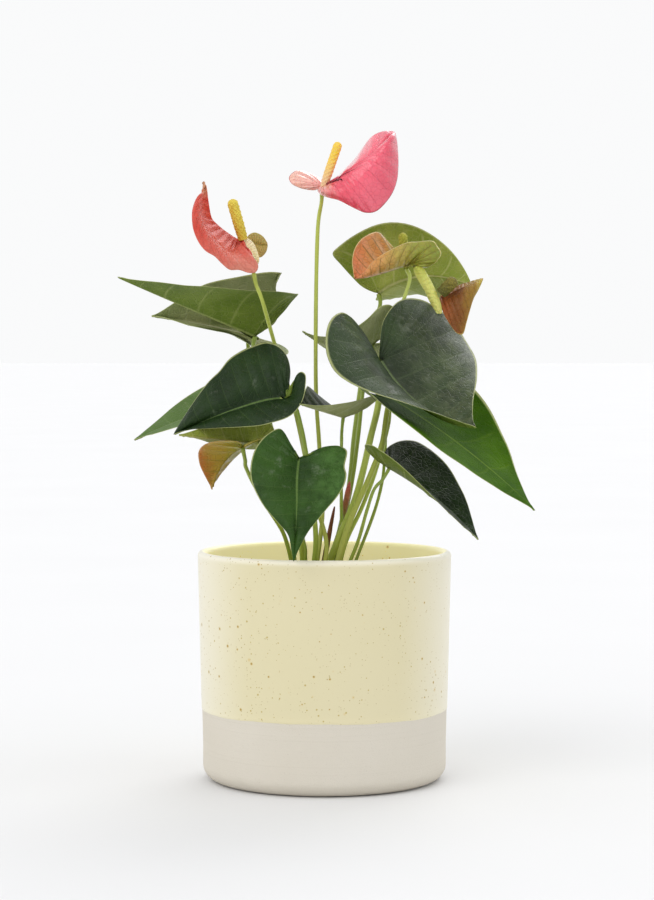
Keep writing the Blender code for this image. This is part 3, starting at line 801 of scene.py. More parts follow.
def leaf_finish(name, deep, fresh, rib, edge, rough, chalk=0.0, coat=0.0, veining=0.2, shine=0.16, painted_sheen=()):
    finish = Finish(name, Specular_IOR_Level=shine, Coat_Weight=coat, Coat_Roughness=0.28)
    veins, midrib, margin, net = vein_masks(finish)
    drift = finish.noise(38.0, 3.0)
    grain = finish.noise(320.0, 3.0)
    colour = finish.mix(finish.step(drift, 0.3, 0.7) * 0.8 + grain * 0.2, tone(*deep), tone(*fresh))
    colour = finish.mix(veins * veining, colour, tone(*rib))
    colour = finish.mix(net * veining * 0.4, colour, tone(*rib))
    # Painted sheen: streaks of a grey or paler tone towards one end of the leaf's box.
    if painted_sheen:
        *where, strength, sheen_tone = painted_sheen
        colour = finish.mix(sheen_mask(finish, *where) * strength, colour, tone(*sheen_tone))
    marks = finish.step(finish.noise(95.0, 6.0, rough=0.72), 0.56, 0.7)
    colour = finish.mix(marks * chalk, colour, tone(168, 174, 158))
    colour = finish.mix(midrib * 0.85, colour, tone(*rib))
    colour = finish.mix(margin * 0.8, colour, tone(*edge))
    relief = grain * 0.35 - net * 0.5 - veins * 0.4
    return finish.wear(colour, rough + grain * 0.12 + marks * chalk * 0.5, relief, 0.00035)


RIB = (96, 122, 60)
PALE = (190, 196, 132)
LEAF_TOPS = {
    "dark": leaf_finish("leaf_dark", (14, 34, 8), (34, 58, 20), RIB, PALE, 0.34, 0.14, 0.06, 0.12),
    "deep": leaf_finish("leaf_deep", (26, 52, 10), (54, 86, 28), RIB, PALE, 0.34, 0.14, 0.05, 0.15),
    # The right and front leaves carry a painted sheen, given as their last setting.
    "grey": leaf_finish("leaf_grey", (18, 34, 10), (44, 66, 26), (110, 128, 84), PALE, 0.28, 0.12, 0.12,
                        0.15, 0.2, ("leaf_right", 0, 0.3, 0.85, 0.4, (112, 122, 88))),
    "front": leaf_finish("leaf_front", (24, 50, 8), (52, 86, 24), RIB, PALE, 0.34, 0.16, 0.05, 0.15, 0.14,
                         ("leaf_front", 0, 0.5, 0.85, 0.5, (98, 138, 72))),
    "mid": leaf_finish("leaf_mid", (44, 80, 0), (72, 110, 6), (112, 142, 44), PALE, 0.5, 0.02, shine=0.02,
                       veining=0.18),
    "bright": leaf_finish("leaf_bright", (82, 112, 44), (102, 132, 66), (140, 160, 100), PALE, 0.45, 0.04),
    "folded": leaf_finish("leaf_folded", (120, 134, 78), (168, 172, 124), (196, 200, 160), PALE, 0.45, 0.0),
}
UNDER_TONES = {
    "green": ((84, 106, 28), (116, 134, 54), (160, 170, 100), 0.5),
    "pale": ((132, 144, 84), (176, 180, 130), (200, 202, 160), 0.5),
    "warm": ((118, 136, 40), (164, 170, 82), (198, 198, 130), 0.45),
}
LEAF_UNDERS = {
    name: leaf_finish(f"under_{name}", deep, fresh, rib, PALE, rough, veining=0.4)
    for name, (deep, fresh, rib, rough) in UNDER_TONES.items()
}

# %% [markdown]
# A spathe is the coloured leaf round a flower. It is waxy, and it ages: the young one is clear pink,
# and the old ones fade to tan, green and brown from one end. So each finish is a row of tones laid
# along one direction of the spathe's own box, with the same veins as a leaf and a soft clear coat.

# %% Spathe finishes
def laid_tones(finish, share, stops):
    """Tones laid one after another along a share from 0 to 1, each given as (share, tone)."""
    colour = tone(*stops[0][1])
    for (before, _), (after, next_tone) in zip(stops, stops[1:]):
        colour = finish.mix(finish.step(share, before, after), colour, tone(*next_tone))
    return colour


def spathe_finish(name, node, axis, stops, rib, edge, rough=0.3, coat=0.3, veining=0.35, blotch=0.0):
    finish = Finish(name, Specular_IOR_Level=0.4, Coat_Weight=coat, Coat_Roughness=0.15)
    finish.shader.inputs["Subsurface Weight"].default_value = 0.08
    finish.shader.inputs["Subsurface Scale"].default_value = 0.003
    veins, midrib, margin, net = vein_masks(finish, 0.24)
    low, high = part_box(node)
    share = (finish.parts(finish.place)[axis] - low[axis]) / (high[axis] - low[axis])
    grain = finish.noise(300.0, 3.0)
    drift = finish.noise(70.0, 4.0)
    colour = laid_tones(finish, share + (drift - 0.5) * 0.3, stops)
    colour = finish.mix(finish.step(drift, 0.5, 0.75) * blotch, colour, tone(*rib))
    colour = finish.mix(veins * veining, colour, tone(*rib))
    colour = finish.mix(net * veining * 0.4, colour, tone(*rib))
    colour = finish.mix(midrib * 0.5, colour, tone(*rib))
    colour = finish.mix(margin * 0.7, colour, tone(*edge))
    return finish.wear(colour, rough + grain * 0.12, grain * 0.3 - net * 0.4 - veins * 0.3, 0.0004)


SPATHE_LOOKS = {
    "pink": spathe_finish(
        "spathe_pink", "spathe_pink", 0,
        [(0.0, (240, 184, 164)), (0.3, (238, 156, 148)), (0.46, (238, 74, 98)), (0.75, (246, 96, 118)),
         (1.0, (224, 62, 92))],
        (204, 42, 72), (206, 66, 90), 0.14, 1.0, 0.4),
    "red": spathe_finish(
        "spathe_red", "spathe_red", 2,
        [(0.0, (220, 132, 112)), (0.25, (214, 94, 78)), (0.5, (206, 66, 48)), (0.85, (210, 76, 60)),
         (1.0, (206, 150, 110))],
        (188, 60, 48), (226, 138, 124), 0.42, 0.12, 0.3),
    "tan": spathe_finish(
        "spathe_tan", "spathe_tan", 0,
        [(0.0, (216, 130, 78)), (0.3, (208, 148, 78)), (0.5, (182, 162, 72)), (0.75, (146, 152, 50)),
         (1.0, (122, 138, 32))],
        (116, 92, 24), (232, 218, 150), 0.36, 0.25, 0.7, 0.15),
    "brown": spathe_finish(
        "spathe_brown", "spathe_brown", 0,
        [(0.0, (170, 172, 100)), (0.4, (158, 84, 30)), (0.6, (126, 72, 14)), (0.85, (146, 112, 24)),
         (1.0, (186, 166, 56))],
        (112, 66, 10), (226, 200, 120), 0.46, 0.05, 0.45, 0.3),
    "small": spathe_finish(
        "spathe_small", "spathe_small", 0,
        [(0.0, (186, 112, 52)), (0.25, (176, 148, 56)), (0.6, (158, 152, 44)), (1.0, (150, 158, 60))],
        (128, 120, 36), (206, 160, 100), 0.36, 0.25, 0.45),
}


# %% [markdown]
# Stalks are smooth and fleshy: yellow-green, darker and redder towards the foot, with fine streaks
# along them and a paler knuckle under the blade. One function makes the four greens seen here.

# %% Stalk finishes
def stalk_finish(name, foot, middle, top):
    finish = Finish(name, Specular_IOR_Level=0.4, Coat_Weight=0.15, Coat_Roughness=0.25)
    share = finish.parts(finish.node("ShaderNodeUVMap", {"uv_map": "grain"}))[0]
    streak = finish.noise(1.0, 3.0, where=finish.place * (900.0, 900.0, 60.0))
    colour = laid_tones(finish, share + (streak - 0.5) * 0.15, [(0.0, foot), (0.25, middle), (0.9, top)])
    colour = finish.mix(finish.step(streak, 0.55, 0.75) * 0.35, colour, tone(*(c * 0.72 for c in middle)))
    spots = finish.step(finish.noise(240.0, 2.0), 0.68, 0.76)
    colour = finish.mix(spots * 0.3, colour, tone(128, 96, 50))
    return finish.wear(colour, streak * 0.15 + 0.38, streak, 0.0002)


STALK_TONES = {
    "yellow": ((150, 158, 66), (190, 198, 92), (176, 188, 78)),
    "green": ((142, 156, 60), (162, 182, 74), (154, 176, 74)),
    "olive": ((128, 138, 52), (144, 162, 60), (144, 162, 64)),
    "bright": ((160, 174, 72), (186, 202, 88), (194, 208, 104)),
}
STALK_LOOKS = {name: stalk_finish(f"stalk_{name}", *tones) for name, tones in STALK_TONES.items()}

# %% [markdown]
# The leaves and spathes below are given in the terms of `half_blade`: where the stalk joins (mm), the
# heading, pitch and roll (degrees), the length (mm) and width, then for the left and right halves the
# fold, the curl and the lift of the basal lobe, and for the whole blade the bend, twist, ripple and
# length of its lobes. The lowest leaf on the left is folded more sharply than the imported model's plain
# one, and the others are as they are there. A blade that is given point by point further down has only
# its place and turn here, which its stalk needs.

# %% Where the blades are and how they are held
LEAVES = {
    "upper_left": dict(at=(-42, 32, 262), turn=(-159, 22, 1), length=92.5, width=(1.13, 0.75),
                       fold=(0.93, 0.11), curl=(-0.81, 0.03), lobe=(1.3, 0.02), twist=-0.65, lobes=0.25),
    "back_left": dict(at=(-46.5, 84, 262.5), turn=(-158, 13, -48), length=65, width=1.48,
                      fold=(0.58, 1.29), curl=(0, 0.27), lobe=(1.16, 1.6), bend=0.12, twist=0.2,
                      ripple=-0.11, lobes=0.95),
    "left": dict(at=(-22, -30, 227), turn=(178, -22, -8)),
    "low_back": dict(at=(-46, 27, 223), turn=(-167, -12, -15), length=73, width=1.0,
                     fold=(0.16, 0.15), curl=(-0.12, 0.04), lobe=(-0.2, -0.2), bend=0.24, twist=0.06,
                     lobes=0.75),
    "low_left": dict(at=(-39, -8, 199), turn=(-141, 6, 59), length=57.5, width=(0.5, 0.5),
                     fold=(0.8, 0.8), curl=(-0.1, -0.1), lobe=(-0.2, -0.2), lobes=0.6),
    "front": dict(at=(-15, -55, 192), turn=(-93, -42, 2)),
    "right": dict(at=(32, -15, 247), turn=(-19, -57, 29), length=80, width=1.8, fold=(0.33, 0.84),
                  curl=(-0.63, -0.82), lobe=(0.03, 0.03), bend=-1.04, twist=0.17, ripple=0.01),
    "lower_right": dict(at=(39, -5, 225), turn=(-26, -28, 6), length=111, width=1.25, fold=(-0.22, 0.15),
                        curl=(0.78, 0.3), lobe=(0.0, 0.08), bend=0.25, twist=0.15, lobes=0.03),
    "small_right": dict(at=(38, -20, 185), turn=(-21, -27, 9), length=68, width=1.12, fold=(0.14, 0.36),
                        curl=(0.16, 0.33), lobe=(-0.04, 0.06), bend=0.36, twist=0.16, lobes=0.5),
    "small_centre": dict(at=(11, -10, 214.5), turn=(-122, 10, -4), length=48, width=1.12,
                         fold=(0.48, 0.51), curl=(0.29, 0.01), lobe=(0.01, -0.15), twist=-0.47, lobes=0.5),
    "back_right": dict(at=(28.5, 28, 257), turn=(-159, -17, 15), length=45.5, width=(1.3, 0.8),
                       fold=(0.36, -0.36), curl=(0.32, 0.11), lobe=(0.16, 0.04), bend=-0.99,
                       twist=-0.55),
    "top_right": dict(at=(33.5, 85, 289), turn=(-39, 30, 8), length=73.5, width=1.18, fold=(-0.3, 1.8),
                      curl=(0.3, -1.4), lobe=(1.5, 1.5), bend=0.99, twist=-0.95, ripple=0.09, lobes=0.55),
}
SPATHES = {
    "pink": dict(at=(-1.5, 5, 347), turn=(4, 40, 79)),
    "red": dict(at=(-41.5, -15, 299), turn=(172, -1, -27)),
    "tan": dict(at=(49, 24, 302.5), turn=(-136, -6, 53)),
    "brown": dict(at=(70.5, 12, 284.5), turn=(31, -28, 42)),
    "small": dict(at=(-47.5, -32, 197.5), turn=(133, -16, -3), length=40, width=(1.28, 0.9),
                  fold=(0.22, 0.32), curl=(-0.11, -0.22), lobe=(-0.34, -0.34), bend=0.91, twist=0.05,
                  lobes=0.6),
}

# %% [markdown]
# Each stalk has its foot on the crown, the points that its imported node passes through, and its radius
# at the foot and at the blade, all in mm.

# %% Where the stalks run
PETIOLES = {
    "upper_left": ((-11, 3), [(-13, 7, 141), (-19, 13, 165), (-30, 22, 200), (-37, 28, 226)], 1.7, 1.2),
    "back_left": ((-12, 10), [(-15, 20, 140), (-22, 33, 164), (-35, 53, 199), (-42, 68, 226)], 1.7, 1.2),
    "left": ((-6.5, -9), [(-5, -14, 145), (-8, -20, 175), (-12, -25, 201), (-16, -28, 218)], 1.7, 1.2),
    "low_back": ((-17, 3), [(-22, 8, 159), (-33, 17, 191), (-41, 24, 211)], 1.5, 1.1),
    "low_left": ((-12, -4), [(-12, -5, 139), (-20, -6, 156), (-31, -7, 183)], 1.5, 1.1),
    "front": ((-13, -11), [(-13, -23, 140), (-14, -36, 161), (-15, -48, 180)], 1.6, 1.2),
    "right": ((0.5, -5), [(10, -6, 146), (17, -5, 162), (22, -4, 179), (27, -3, 201), (32, -2, 224)],
              2.1, 1.9),
    "lower_right": ((6, -13), [(13, -12, 147), (18, -11, 160), (24, -10, 173), (29, -9, 185), (34, -7, 199)],
                    2.0, 1.5),
    "small_right": ((12.5, -9), [(20, -13, 142), (25, -16, 160), (29, -18, 172)], 1.2, 0.9),
    "small_centre": ((7.5, 3), [(10, 0, 147), (10, -4, 164), (10, -13, 198)], 1.2, 0.9),
    "back_right": ((3.5, 6), [(10, 9, 146), (16, 13, 172), (20, 17, 200), (24, 22, 236)], 1.4, 1.1),
    "top_right": ((1, 12), [(9, 22, 145), (15, 36, 172), (18, 52, 200), (23, 71, 236), (29, 83, 266)],
                  1.6, 1.2),
}
PEDUNCLES = {
    "pink": ((-5, -1.5), [(-1, 2, 159), (-3, 6, 197), (-5, 10, 230), (-5, 8, 284), (-4, 6, 325)], 1.4, 1.1),
    "red": ((-0.5, -12), [(1, -12, 142), (-7, -11, 171), (-18, -6, 221), (-28, 4, 252), (-36, -13, 281)],
            1.4, 1.1),
    "tan": ((8, -5), [(13, -4, 141), (22, -1, 160), (30, 1, 181), (38, 5, 210), (38.5, 8, 228),
                      (43, 15, 253), (46, 21, 278)], 1.3, 1.1),
    "brown": ((16, -2), [(29, 2, 156), (34, 5, 174), (36, 11, 190), (38, 16, 222), (46, 22, 245),
                         (60, 47, 268), (68, 38, 284)], 1.0, 0.9),
    "small": ((-18, -4), [(-24, -13, 146), (-36, -21, 166), (-45, -27, 184)], 1.3, 1.1),
}

# %% [markdown]
# Four of the spathes are old or strongly rolled, so their fine shapes are given point by point, in mm:
# the pink one hangs forward like a shell with a small rolled collar, the red one is a boat whose ruffled
# end turns up pale by the spadix, the tan one is a hood with a quilted near side, and the brown one
# has one half dried into a yellow strip. Their stalks still join them where the plain ones do.

# %% Spathes given point by point
LAID_SPATHES = {
    "pink": dict(
        rib=[(-1, 5, 350), (4, 3, 352.5), (8.5, 0, 355), (13, -2, 358.5), (21.5, -2.5, 364), (27, -1, 368),
             (34, 3, 375), (41.5, 9, 382.5)],
        margins=([(-5, 8, 348), (-12, 9, 348.5), (-19, 10, 351.5), (-21, 13, 356), (-17, 17, 360),
                  (-10, 19, 359.5), (-3, 17, 356), (4, 14, 354.5), (12, 16, 360.5), (19.5, 17, 369),
                  (27, 16, 379.5), (34, 14, 383)],
                 [(-4, 3, 347.5), (-2.5, 0, 345), (1.5, -2, 343), (9, -4, 341), (18, -3, 336.5),
                  (24.5, -2, 334), (31.5, 0, 335.5), (39, 3, 344), (43, 6, 354), (44, 8, 365), (43, 9, 376)]),
        bulge=(1.0, 7.0), starts=(0.5, 0.22)),
    "red": dict(
        rib=[(-48.5, -12, 317.5), (-52, -20, 311), (-57, -27, 311), (-64, -31, 317), (-69, -31, 325),
             (-71, -29, 333), (-70.5, -27, 340), (-69.5, -25, 345), (-70, -24, 351)],
        margins=([(-45, -14, 312.5), (-40.5, -16, 306.5), (-38.5, -18, 302), (-40, -21, 298.5),
                  (-44, -25, 298), (-49, -30, 299.5), (-54.5, -34, 299.5), (-59, -37, 303), (-63, -39, 307),
                  (-68, -41, 310), (-72, -42, 315), (-75, -41, 322), (-76, -38, 329), (-75.5, -34, 335.5),
                  (-73.5, -30, 340.5), (-70, -26, 345.5)],
                 [(-50.5, -9, 318.5), (-53, -8, 320), (-57.5, -10, 323), (-62, -14, 326.5),
                  (-65.5, -18, 330.5), (-67, -23, 339), (-68, -25, 347)]),
        bulge=(4.0, -2.0), starts=(0.15, 0.05), fan=1.0),
    "tan": dict(
        rib=[(50, 22, 304), (45, 17, 302.5), (38, 13, 300), (31, 11, 298), (24.5, 11, 296.5),
             (17.5, 14, 296)],
        margins=([(52, 26, 307), (54, 30, 310.5), (52.5, 34, 314), (48, 34, 315), (43, 33, 314),
                  (38.5, 33, 313), (37, 35, 316.5), (35.5, 36, 321.5), (32, 35, 324.5), (27.5, 32, 323.5),
                  (22, 27, 320), (18, 22, 314), (16.5, 18, 306.5), (17, 15, 300)],
                 [(54, 19, 303.5), (59, 17, 302.5), (64, 14, 304), (67.5, 13, 307), (69.5, 14, 311),
                  (67.5, 17, 315), (64.5, 19, 318.5), (55.5, 18, 318), (49.5, 15, 317.5), (42.5, 11, 314.5),
                  (35.5, 8, 310.5), (29, 7, 306), (24.5, 9, 301), (20.5, 12, 297.5)]),
        bulge=(-3.0, 4.0), starts=(0.5, 0.42)),
    "brown": dict(
        rib=[(69, 12, 285), (73.5, 9, 286), (79, 8, 289), (85, 9, 291.5), (90, 11, 294), (94.5, 14, 296)],
        margins=([(72, 18, 287), (76, 20, 290), (81, 20, 292.5), (85, 18, 293.5), (90, 15, 295)],
                 [(68.5, 8, 281.5), (70, 4, 275.5), (73.5, 3, 269.5), (78, 3, 263.5), (82, 3, 263),
                  (84, 3, 269.5), (86, 4, 277), (88, 6, 283.5), (91, 9, 289)]),
        bulge=(-1.0, 3.0), starts=(0.05, 0.35)),
}
BROWN_STRIP = dict(
    rib=[(66.5, 3, 275), (65, 2, 281), (62.5, 3.5, 288), (60, 6.5, 294.5), (57, 10, 299.5), (54, 14, 303)],
    margins=([(64, 6, 279), (61.5, 7, 283.5), (59.5, 8, 288), (57.5, 9, 291.5), (54.5, 12, 297),
              (53, 15, 301.5)],
             [(69.5, 4, 275.5), (68.5, 4, 282), (66, 5, 288.5), (63, 8, 295), (60, 12, 300.5),
              (57, 15, 303.5)]),
    bulge=(0.8, 0.8), starts=(0.02, 0.02), fan=1.0)
RED_BACK = dict(
    rib=[(-46, -6, 315), (-42, -2, 316), (-38, 0, 315.5), (-33.5, 1, 315)],
    margins=([(-46, -4, 318.5), (-44, -2, 321.5), (-40.5, -1, 322.5), (-36.5, 0, 320.5), (-34, 1, 317)],
             [(-44, -6, 312), (-41, -5, 308.5), (-37.5, -1, 308), (-34.5, 0, 311)]),
    bulge=(1.5, 1.5), starts=(0.1, 0.1), fan=1.0)
RED_CREAM = dict(
    rib=[(-48.5, -12.5, 318.5), (-45, -14, 314.5), (-41.5, -15, 309.5), (-38.5, -16, 303.5)],
    margins=([(-45.5, -11, 319), (-41.5, -11, 316), (-39, -13, 310.5), (-38, -15, 306)],
             [(-47, -15, 315), (-44, -17, 311), (-41, -18, 307)]),
    bulge=(0.6, 0.8), starts=(0.05, 0.05), fan=1.0)
print(len(LAID_SPATHES), "spathes laid out by hand")

# %% [markdown]
# Two leaves show their whole upper side, so their outlines are given point by point as well. The
# lowest one is a heart whose right lobe is square-shouldered. The one on the left has a full round back
# and a small lobe that stands up like an ear beside its stalk.

# %% Leaves given point by point
LAID_LEAVES = {
    "front": dict(
        rib=[(-14.5, -55.5, 191.5), (-15.5, -63, 180), (-15.5, -72, 166.5), (-16, -81, 153),
             (-17, -91, 136)],
        margins=([(-10.5, -54, 193.5), (-5.5, -53, 195.5), (-1.5, -51, 198), (5, -50, 199),
                  (9.5, -51, 198.5), (13, -54, 195.5), (11.5, -58, 187.5), (12.5, -62, 182.5),
                  (11, -66, 176.5), (7, -70, 170.5), (2, -74.5, 165), (-4, -79, 158), (-9, -83, 152),
                  (-13.5, -87, 144)],
                 [(-17.5, -52, 197), (-21.5, -47.5, 203.5), (-25, -45, 208), (-29.5, -45.5, 207),
                  (-35.5, -48.5, 202.5), (-40, -52.5, 196), (-42, -58.5, 187.5), (-41.5, -63, 180),
                  (-38.5, -68, 173), (-33.5, -73, 165), (-27, -78, 158), (-20.5, -83, 151),
                  (-18.5, -87, 144)]),
        bulge=(1.5, 2.5), starts=(0.32, 0.36)),
    "left": dict(
        rib=[(-22, -30, 225.5), (-32.5, -29.5, 224.5), (-44, -29, 221.5), (-56, -29, 217.5),
             (-67.5, -28.5, 213), (-78, -28, 208.5), (-87.5, -27.5, 204.5)],
        margins=([(-19, -35, 228.5), (-18, -39, 233.5), (-16, -41.5, 239), (-13, -44, 241),
                  (-10.5, -45.5, 239), (-10.5, -46.5, 233.5), (-11.5, -47, 227), (-13.5, -47, 222),
                  (-17.5, -46.5, 217), (-22.5, -45.5, 214), (-29, -44.5, 212), (-37, -43, 210),
                  (-47.5, -41, 209), (-58, -39, 208.5), (-68.5, -36, 208), (-76.5, -33, 207.5),
                  (-83, -30.5, 206)],
                 [(-21, -25.5, 232), (-19.5, -22.5, 238.5), (-20.5, -18.5, 246.5), (-23.5, -15.5, 252.5),
                  (-28.5, -13, 256.5), (-35, -12, 258), (-43, -12, 255.5), (-49.5, -12.5, 252.5),
                  (-56, -14, 248), (-61.5, -16, 241), (-68, -18, 234.5), (-74.5, -21.5, 225.5),
                  (-79.5, -24, 217.5), (-83.5, -26, 211)]),
        bulge=(2.0, 4.0), starts=(0.4, 0.34)),
}
print(len(LAID_LEAVES), "leaves laid out by hand")

# %% [markdown]
# The spadices are given by the end of their axis and their radius at the base and near the end, and the
# bud and the sheath by their foot, base and tip, all in mm.

# %% Spadices, bud and sheath: places
SPADICES = {
    "pink": ((8.5, 4, 376), 1.7, 2.5),
    "red": ((-54, -18, 341), 2.7, 3.1),
    "tan": ((46.5, 20, 323.5), 2.0, 2.6),
    "brown": ((77.5, 2, 295.5), 3.4, 3.6),
}
SPADIX_FEET = {"red": (-47.5, -12, 318), "brown": (69, 5, 287)}  # where the fine spathe holds it

BUD_FOOT = (8, 9.5)
BUD_BASE = (11, 2, 154)
BUD_TIP = (15, -1, 176)
BUD_RADIUS = 1.6
SHEATH_FOOT = (-0.3, 0.5)
SHEATH_TIP = (6, -2, 161)

# %% [markdown]
# The leaves differ in age and in which side faces out, so each has its own upper and under finish.
# The dark ones are the oldest. The large one on the right is strongly quilted.

# %% Leaves and their stalks
LEAF_THICKNESS = 0.9
LEAF_LOOKS = {
    "upper_left": ("deep", "green", "green", 0.35), "back_left": ("folded", "pale", "olive", 0.3),
    "left": ("dark", "green", "green", 0.4), "low_back": ("bright", "green", "olive", 0.3),
    "low_left": ("mid", "warm", "olive", 0.3), "front": ("front", "green", "green", 0.4),
    "right": ("grey", "green", "bright", 0.75), "lower_right": ("mid", "green", "yellow", 0.3),
    "small_right": ("dark", "green", "green", 0.4), "small_centre": ("dark", "pale", "green", 0.4),
    "back_right": ("bright", "pale", "olive", 0.3), "top_right": ("mid", "warm", "olive", 0.4),
}
for name, shape in LEAVES.items():
    above, below, stem, quilt = LEAF_LOOKS[name]
    looks = [LEAF_TOPS[above], LEAF_UNDERS[below]]
    fine = LAID_LEAVES.get(name, shape)
    blade(f"{name}_leaf", f"leaf_{name}", fine, looks, LEAF_THICKNESS, quilt)
    spec = PETIOLES[name]
    stalk(f"{name}_petiole", f"petiole_{name}", spec, shape, STALK_LOOKS[stem], LEAF_THICKNESS)
print(len(LEAVES), "leaves on their petioles")

# %% [markdown]
# Spathes are made in the same way, with a deeper quilting. The flower stalks are thinner and rounder.

# %% Spathes and their stalks
SPATHE_THICKNESS = 0.9
SPATHE_BUILDS = {"pink": ("yellow", 0.8), "red": ("yellow", 0.9), "tan": ("bright", 1.1),
                 "brown": ("green", 0.35), "small": ("olive", 0.7)}
for name, shape in SPATHES.items():
    stem, quilt = SPATHE_BUILDS[name]
    looks = [SPATHE_LOOKS[name]] * 2
    fine = LAID_SPATHES.get(name, shape)
    blade(f"{name}_spathe", f"spathe_{name}", fine, looks, SPATHE_THICKNESS, quilt, 0.5)
    spec = PEDUNCLES[name]
    stalk(f"{name}_peduncle", f"peduncle_{name}", spec, shape, STALK_LOOKS[stem], SPATHE_THICKNESS)
print(len(SPATHES), "spathes on their peduncles")

# %% [markdown]
# Three small lobes belong to the two oldest spathes: the dry yellow strip of the brown one, and the
# round olive lobe and the cream lip beside the red one's spadix.

# %% Lobes of the old spathes
LOBE_THICKNESS = 0.8
strip_look = spathe_finish(
    "dry_strip", "spathe_brown", 2, [(0.0, (236, 228, 140)), (0.5, (214, 214, 112)), (1.0, (182, 190, 78))],
    (176, 184, 80), (226, 214, 150), 0.4, 0.2)
olive_look = spathe_finish(
    "olive_lobe", "spathe_red", 2, [(0.0, (190, 140, 84)), (0.35, (182, 156, 78)), (0.6, (150, 152, 80))],
    (150, 130, 56), (200, 190, 110), 0.4, 0.2)
cream_look = spathe_finish(
    "cream_lip", "spathe_red", 2, [(0.0, (214, 170, 128)), (0.2, (234, 216, 160)), (0.5, (244, 222, 190))],
    (206, 170, 120), (240, 228, 180), 0.35, 0.25)
for name, node, shape, look in (
    ("brown_strip", "spathe_brown", BROWN_STRIP, strip_look),
    ("red_back_lobe", "spathe_red", RED_BACK, olive_look),
    ("red_cream_lip", "spathe_red", RED_CREAM, cream_look),
):
    blade(name, node, shape, [look] * 2, LOBE_THICKNESS, 0.25, 0.3)

# %% [markdown]
# A spadix is a fleshy spike packed with hundreds of tiny flowers in two sets of spirals that cross.
# Two cosine waves that wind opposite ways give that lattice of bumps as real relief.

# %% Spadices
SPIRALS = (8, 5)
BUMP = 0.14


def spadix_finish(name, low, high, pit_shade):
    finish = Finish(name, Specular_IOR_Level=0.35)
    share = finish.parts(finish.node("ShaderNodeUVMap", {"uv_map": "grain"}))[0]
    grain = finish.noise(700.0, 3.0)
    dots = finish.cells(1100.0)
    colour = laid_tones(finish, share + (grain - 0.5) * 0.2, [(0.0, low), (0.75, high)])
    # Painted shade: the hollows between the tiny flowers take the darker pit tone.
    colour = finish.mix(finish.step(dots, 0.35, 0.7) * 0.5, colour, tone(*pit_shade))
    return finish.wear(colour, grain * 0.2 + 0.5, 1 - dots, 0.0003)


SPADIX_LOOKS = {
    "pink": spadix_finish("spadix_cream", (246, 204, 170), (250, 212, 60), (236, 200, 140)),
    "red": spadix_finish("spadix_yellow", (214, 190, 70), (232, 210, 84), (196, 164, 40)),
    "tan": spadix_finish("spadix_green", (150, 156, 50), (180, 180, 62), (124, 130, 30)),
    "brown": spadix_finish("spadix_olive", (96, 96, 32), (132, 122, 44), (62, 54, 18)),
}
for name, (end, low, wide) in SPADICES.items():
    base = np.array(SPADIX_FEET.get(name, SPATHES[name]["at"]), float)
    tip = np.array(end, float)
    long = np.linalg.norm(tip - base)
    share = np.linspace(0, 1, 84)
    path = base + (tip - base) * share[:, None]
    body = low + (wide - low) * np.minimum(1, share / 0.35)
    round_off = np.sqrt(np.clip(1 - np.clip((share - 1 + wide / long) / (wide / long), 0, 1) ** 2, 0.01, 1))
    turns = 2 * math.pi * long / (2 * math.pi * wide / (sum(SPIRALS) / 2)) * 0.9

    def bumps(at, angle):
        crossing = math.cos(SPIRALS[0] * angle + turns * at) + math.cos(SPIRALS[1] * angle - turns * at)
        return BUMP * crossing * min(1.0, (1.02 - at) * 8)

    tube(f"{name}_spadix", f"spadix_{name}", path, body * round_off, SPADIX_LOOKS[name], 48, bumps)
print(len(SPADICES), "spadices")

# %% [markdown]
# One more flower is still rolled up in its bud, and a dry sheath stands beside it. Both are pointed
# tubes, rolled like a cigar: the relief is one long step that winds round from foot to tip.

# %% Bud and sheath
def rolled(at, angle):
    return 0.16 * ((angle / (2 * math.pi) + 1.6 * at) % 1.0)


def straight(foot, tip, steps):
    foot = np.array(foot, float)
    return foot + (np.array(tip, float) - foot) * np.linspace(0, 1, steps)[:, None]


bud_look = spathe_finish(
    "bud_red", "bud", 2, [(0.0, (150, 140, 70)), (0.4, (178, 112, 76)), (1.0, (206, 92, 84))],
    (150, 60, 50), (190, 120, 90), 0.4, 0.15)
sheath_look = spathe_finish("sheath_brown", "sheath", 2, [(0.0, (120, 100, 50)), (1.0, (132, 72, 46))],
                            (96, 50, 30), (150, 100, 70), 0.6, 0.0)
share = np.linspace(0, 1, 30)
swell = BUD_RADIUS * (0.75 + 0.9 * share - 0.55 * share**2 - 1.0 * share**6)
tube("closed_bud", "bud", straight(BUD_BASE, BUD_TIP, 30), swell, bud_look, 24, rolled)
bud_foot = np.array([BUD_FOOT[0], BUD_FOOT[1], CROWN_TOP - 1.0])
bud_base = np.array(BUD_BASE, float)
bud_axis = unit(np.array(BUD_TIP, float) - bud_base)
path = along([bud_foot, bud_foot + [0, 0, 8], bud_base - bud_axis * 8, bud_base + bud_axis], 40)
tube("bud_peduncle", "bud_stalk", path, np.full(40, 1.0), STALK_LOOKS["green"])
sheath_foot = np.array([*SHEATH_FOOT, CROWN_TOP - 1.0])
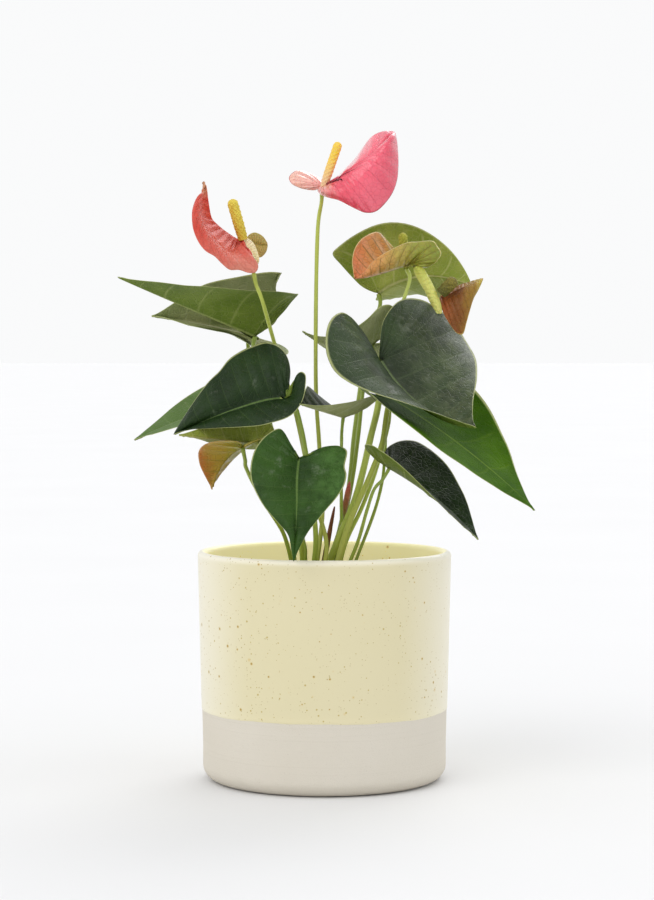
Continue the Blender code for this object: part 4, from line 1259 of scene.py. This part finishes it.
path = along([sheath_foot, sheath_foot + [0.5, 0, 12], SHEATH_TIP], 40)
taper = 1.7 * np.sqrt(np.clip(1 - np.linspace(0, 0.99, 40) ** 3, 0, 1))
tube("dry_sheath", "sheath", path, taper, sheath_look, 24, rolled)

# %% [markdown]
# All the stalks rise from a short stub of stem, a lumpy, fibrous mound that is half in the soil. It is
# a turned mound whose radius follows noise and a few rings left by old leaves.

# %% Crown
def crown_shift(radius, height, angle):
    spot = Vector((radius * math.cos(angle) * 0.12, radius * math.sin(angle) * 0.12, height * 0.3))
    wide = radius * (1 + 0.06 * noise.noise(spot)) - 0.25 * math.sin(height * 3.2)
    return wide, height + 0.5 * noise.noise(spot * 3)


height = CROWN_TOP - SOIL_TOP
outline = [(0.0, SOIL_TOP - 1.0), (CROWN_RADIUS - 0.5, SOIL_TOP - 0.5)]
for t in np.linspace(0, 1, 9):
    rise = height * 0.98 * math.sin(t * math.pi / 2)
    outline.append((CROWN_RADIUS - 0.5 - 3.6 * t, SOIL_TOP + rise))
outline += [((CROWN_RADIUS - 4.1) * t, CROWN_TOP - 0.6) for t in (0.85, 0.6, 0.35, 0.12)]
points, faces = turned(outline + [(0.0, CROWN_TOP - 0.6)], 96, crown_shift)
fibre = Finish("stem_fibre", Specular_IOR_Level=0.25)
strand = fibre.noise(1.0, 3.0, where=fibre.place * (420.0, 420.0, 60.0))
colour = fibre.mix(strand, tone(92, 84, 40), tone(132, 124, 62))
colour = fibre.mix(fibre.step(fibre.noise(130.0, 3.0), 0.5, 0.65) * 0.6, colour, tone(88, 62, 38))
fibre_look = fibre.wear(colour, strand * 0.2 + 0.6, strand, 0.0005)
piece("stem_stub", "crown", points, faces, [fibre_look])

# %% [markdown]
# Last, the visual model's size is printed next to the imported model's own.

# %% Sizes and finish
visual_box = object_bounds()
for name, low, high in (("CAD", *cad_box), ("visual", *visual_box)):
    print(name, "size in mm:", [round((b - a) / MM, 1) for a, b in zip(low, high)])
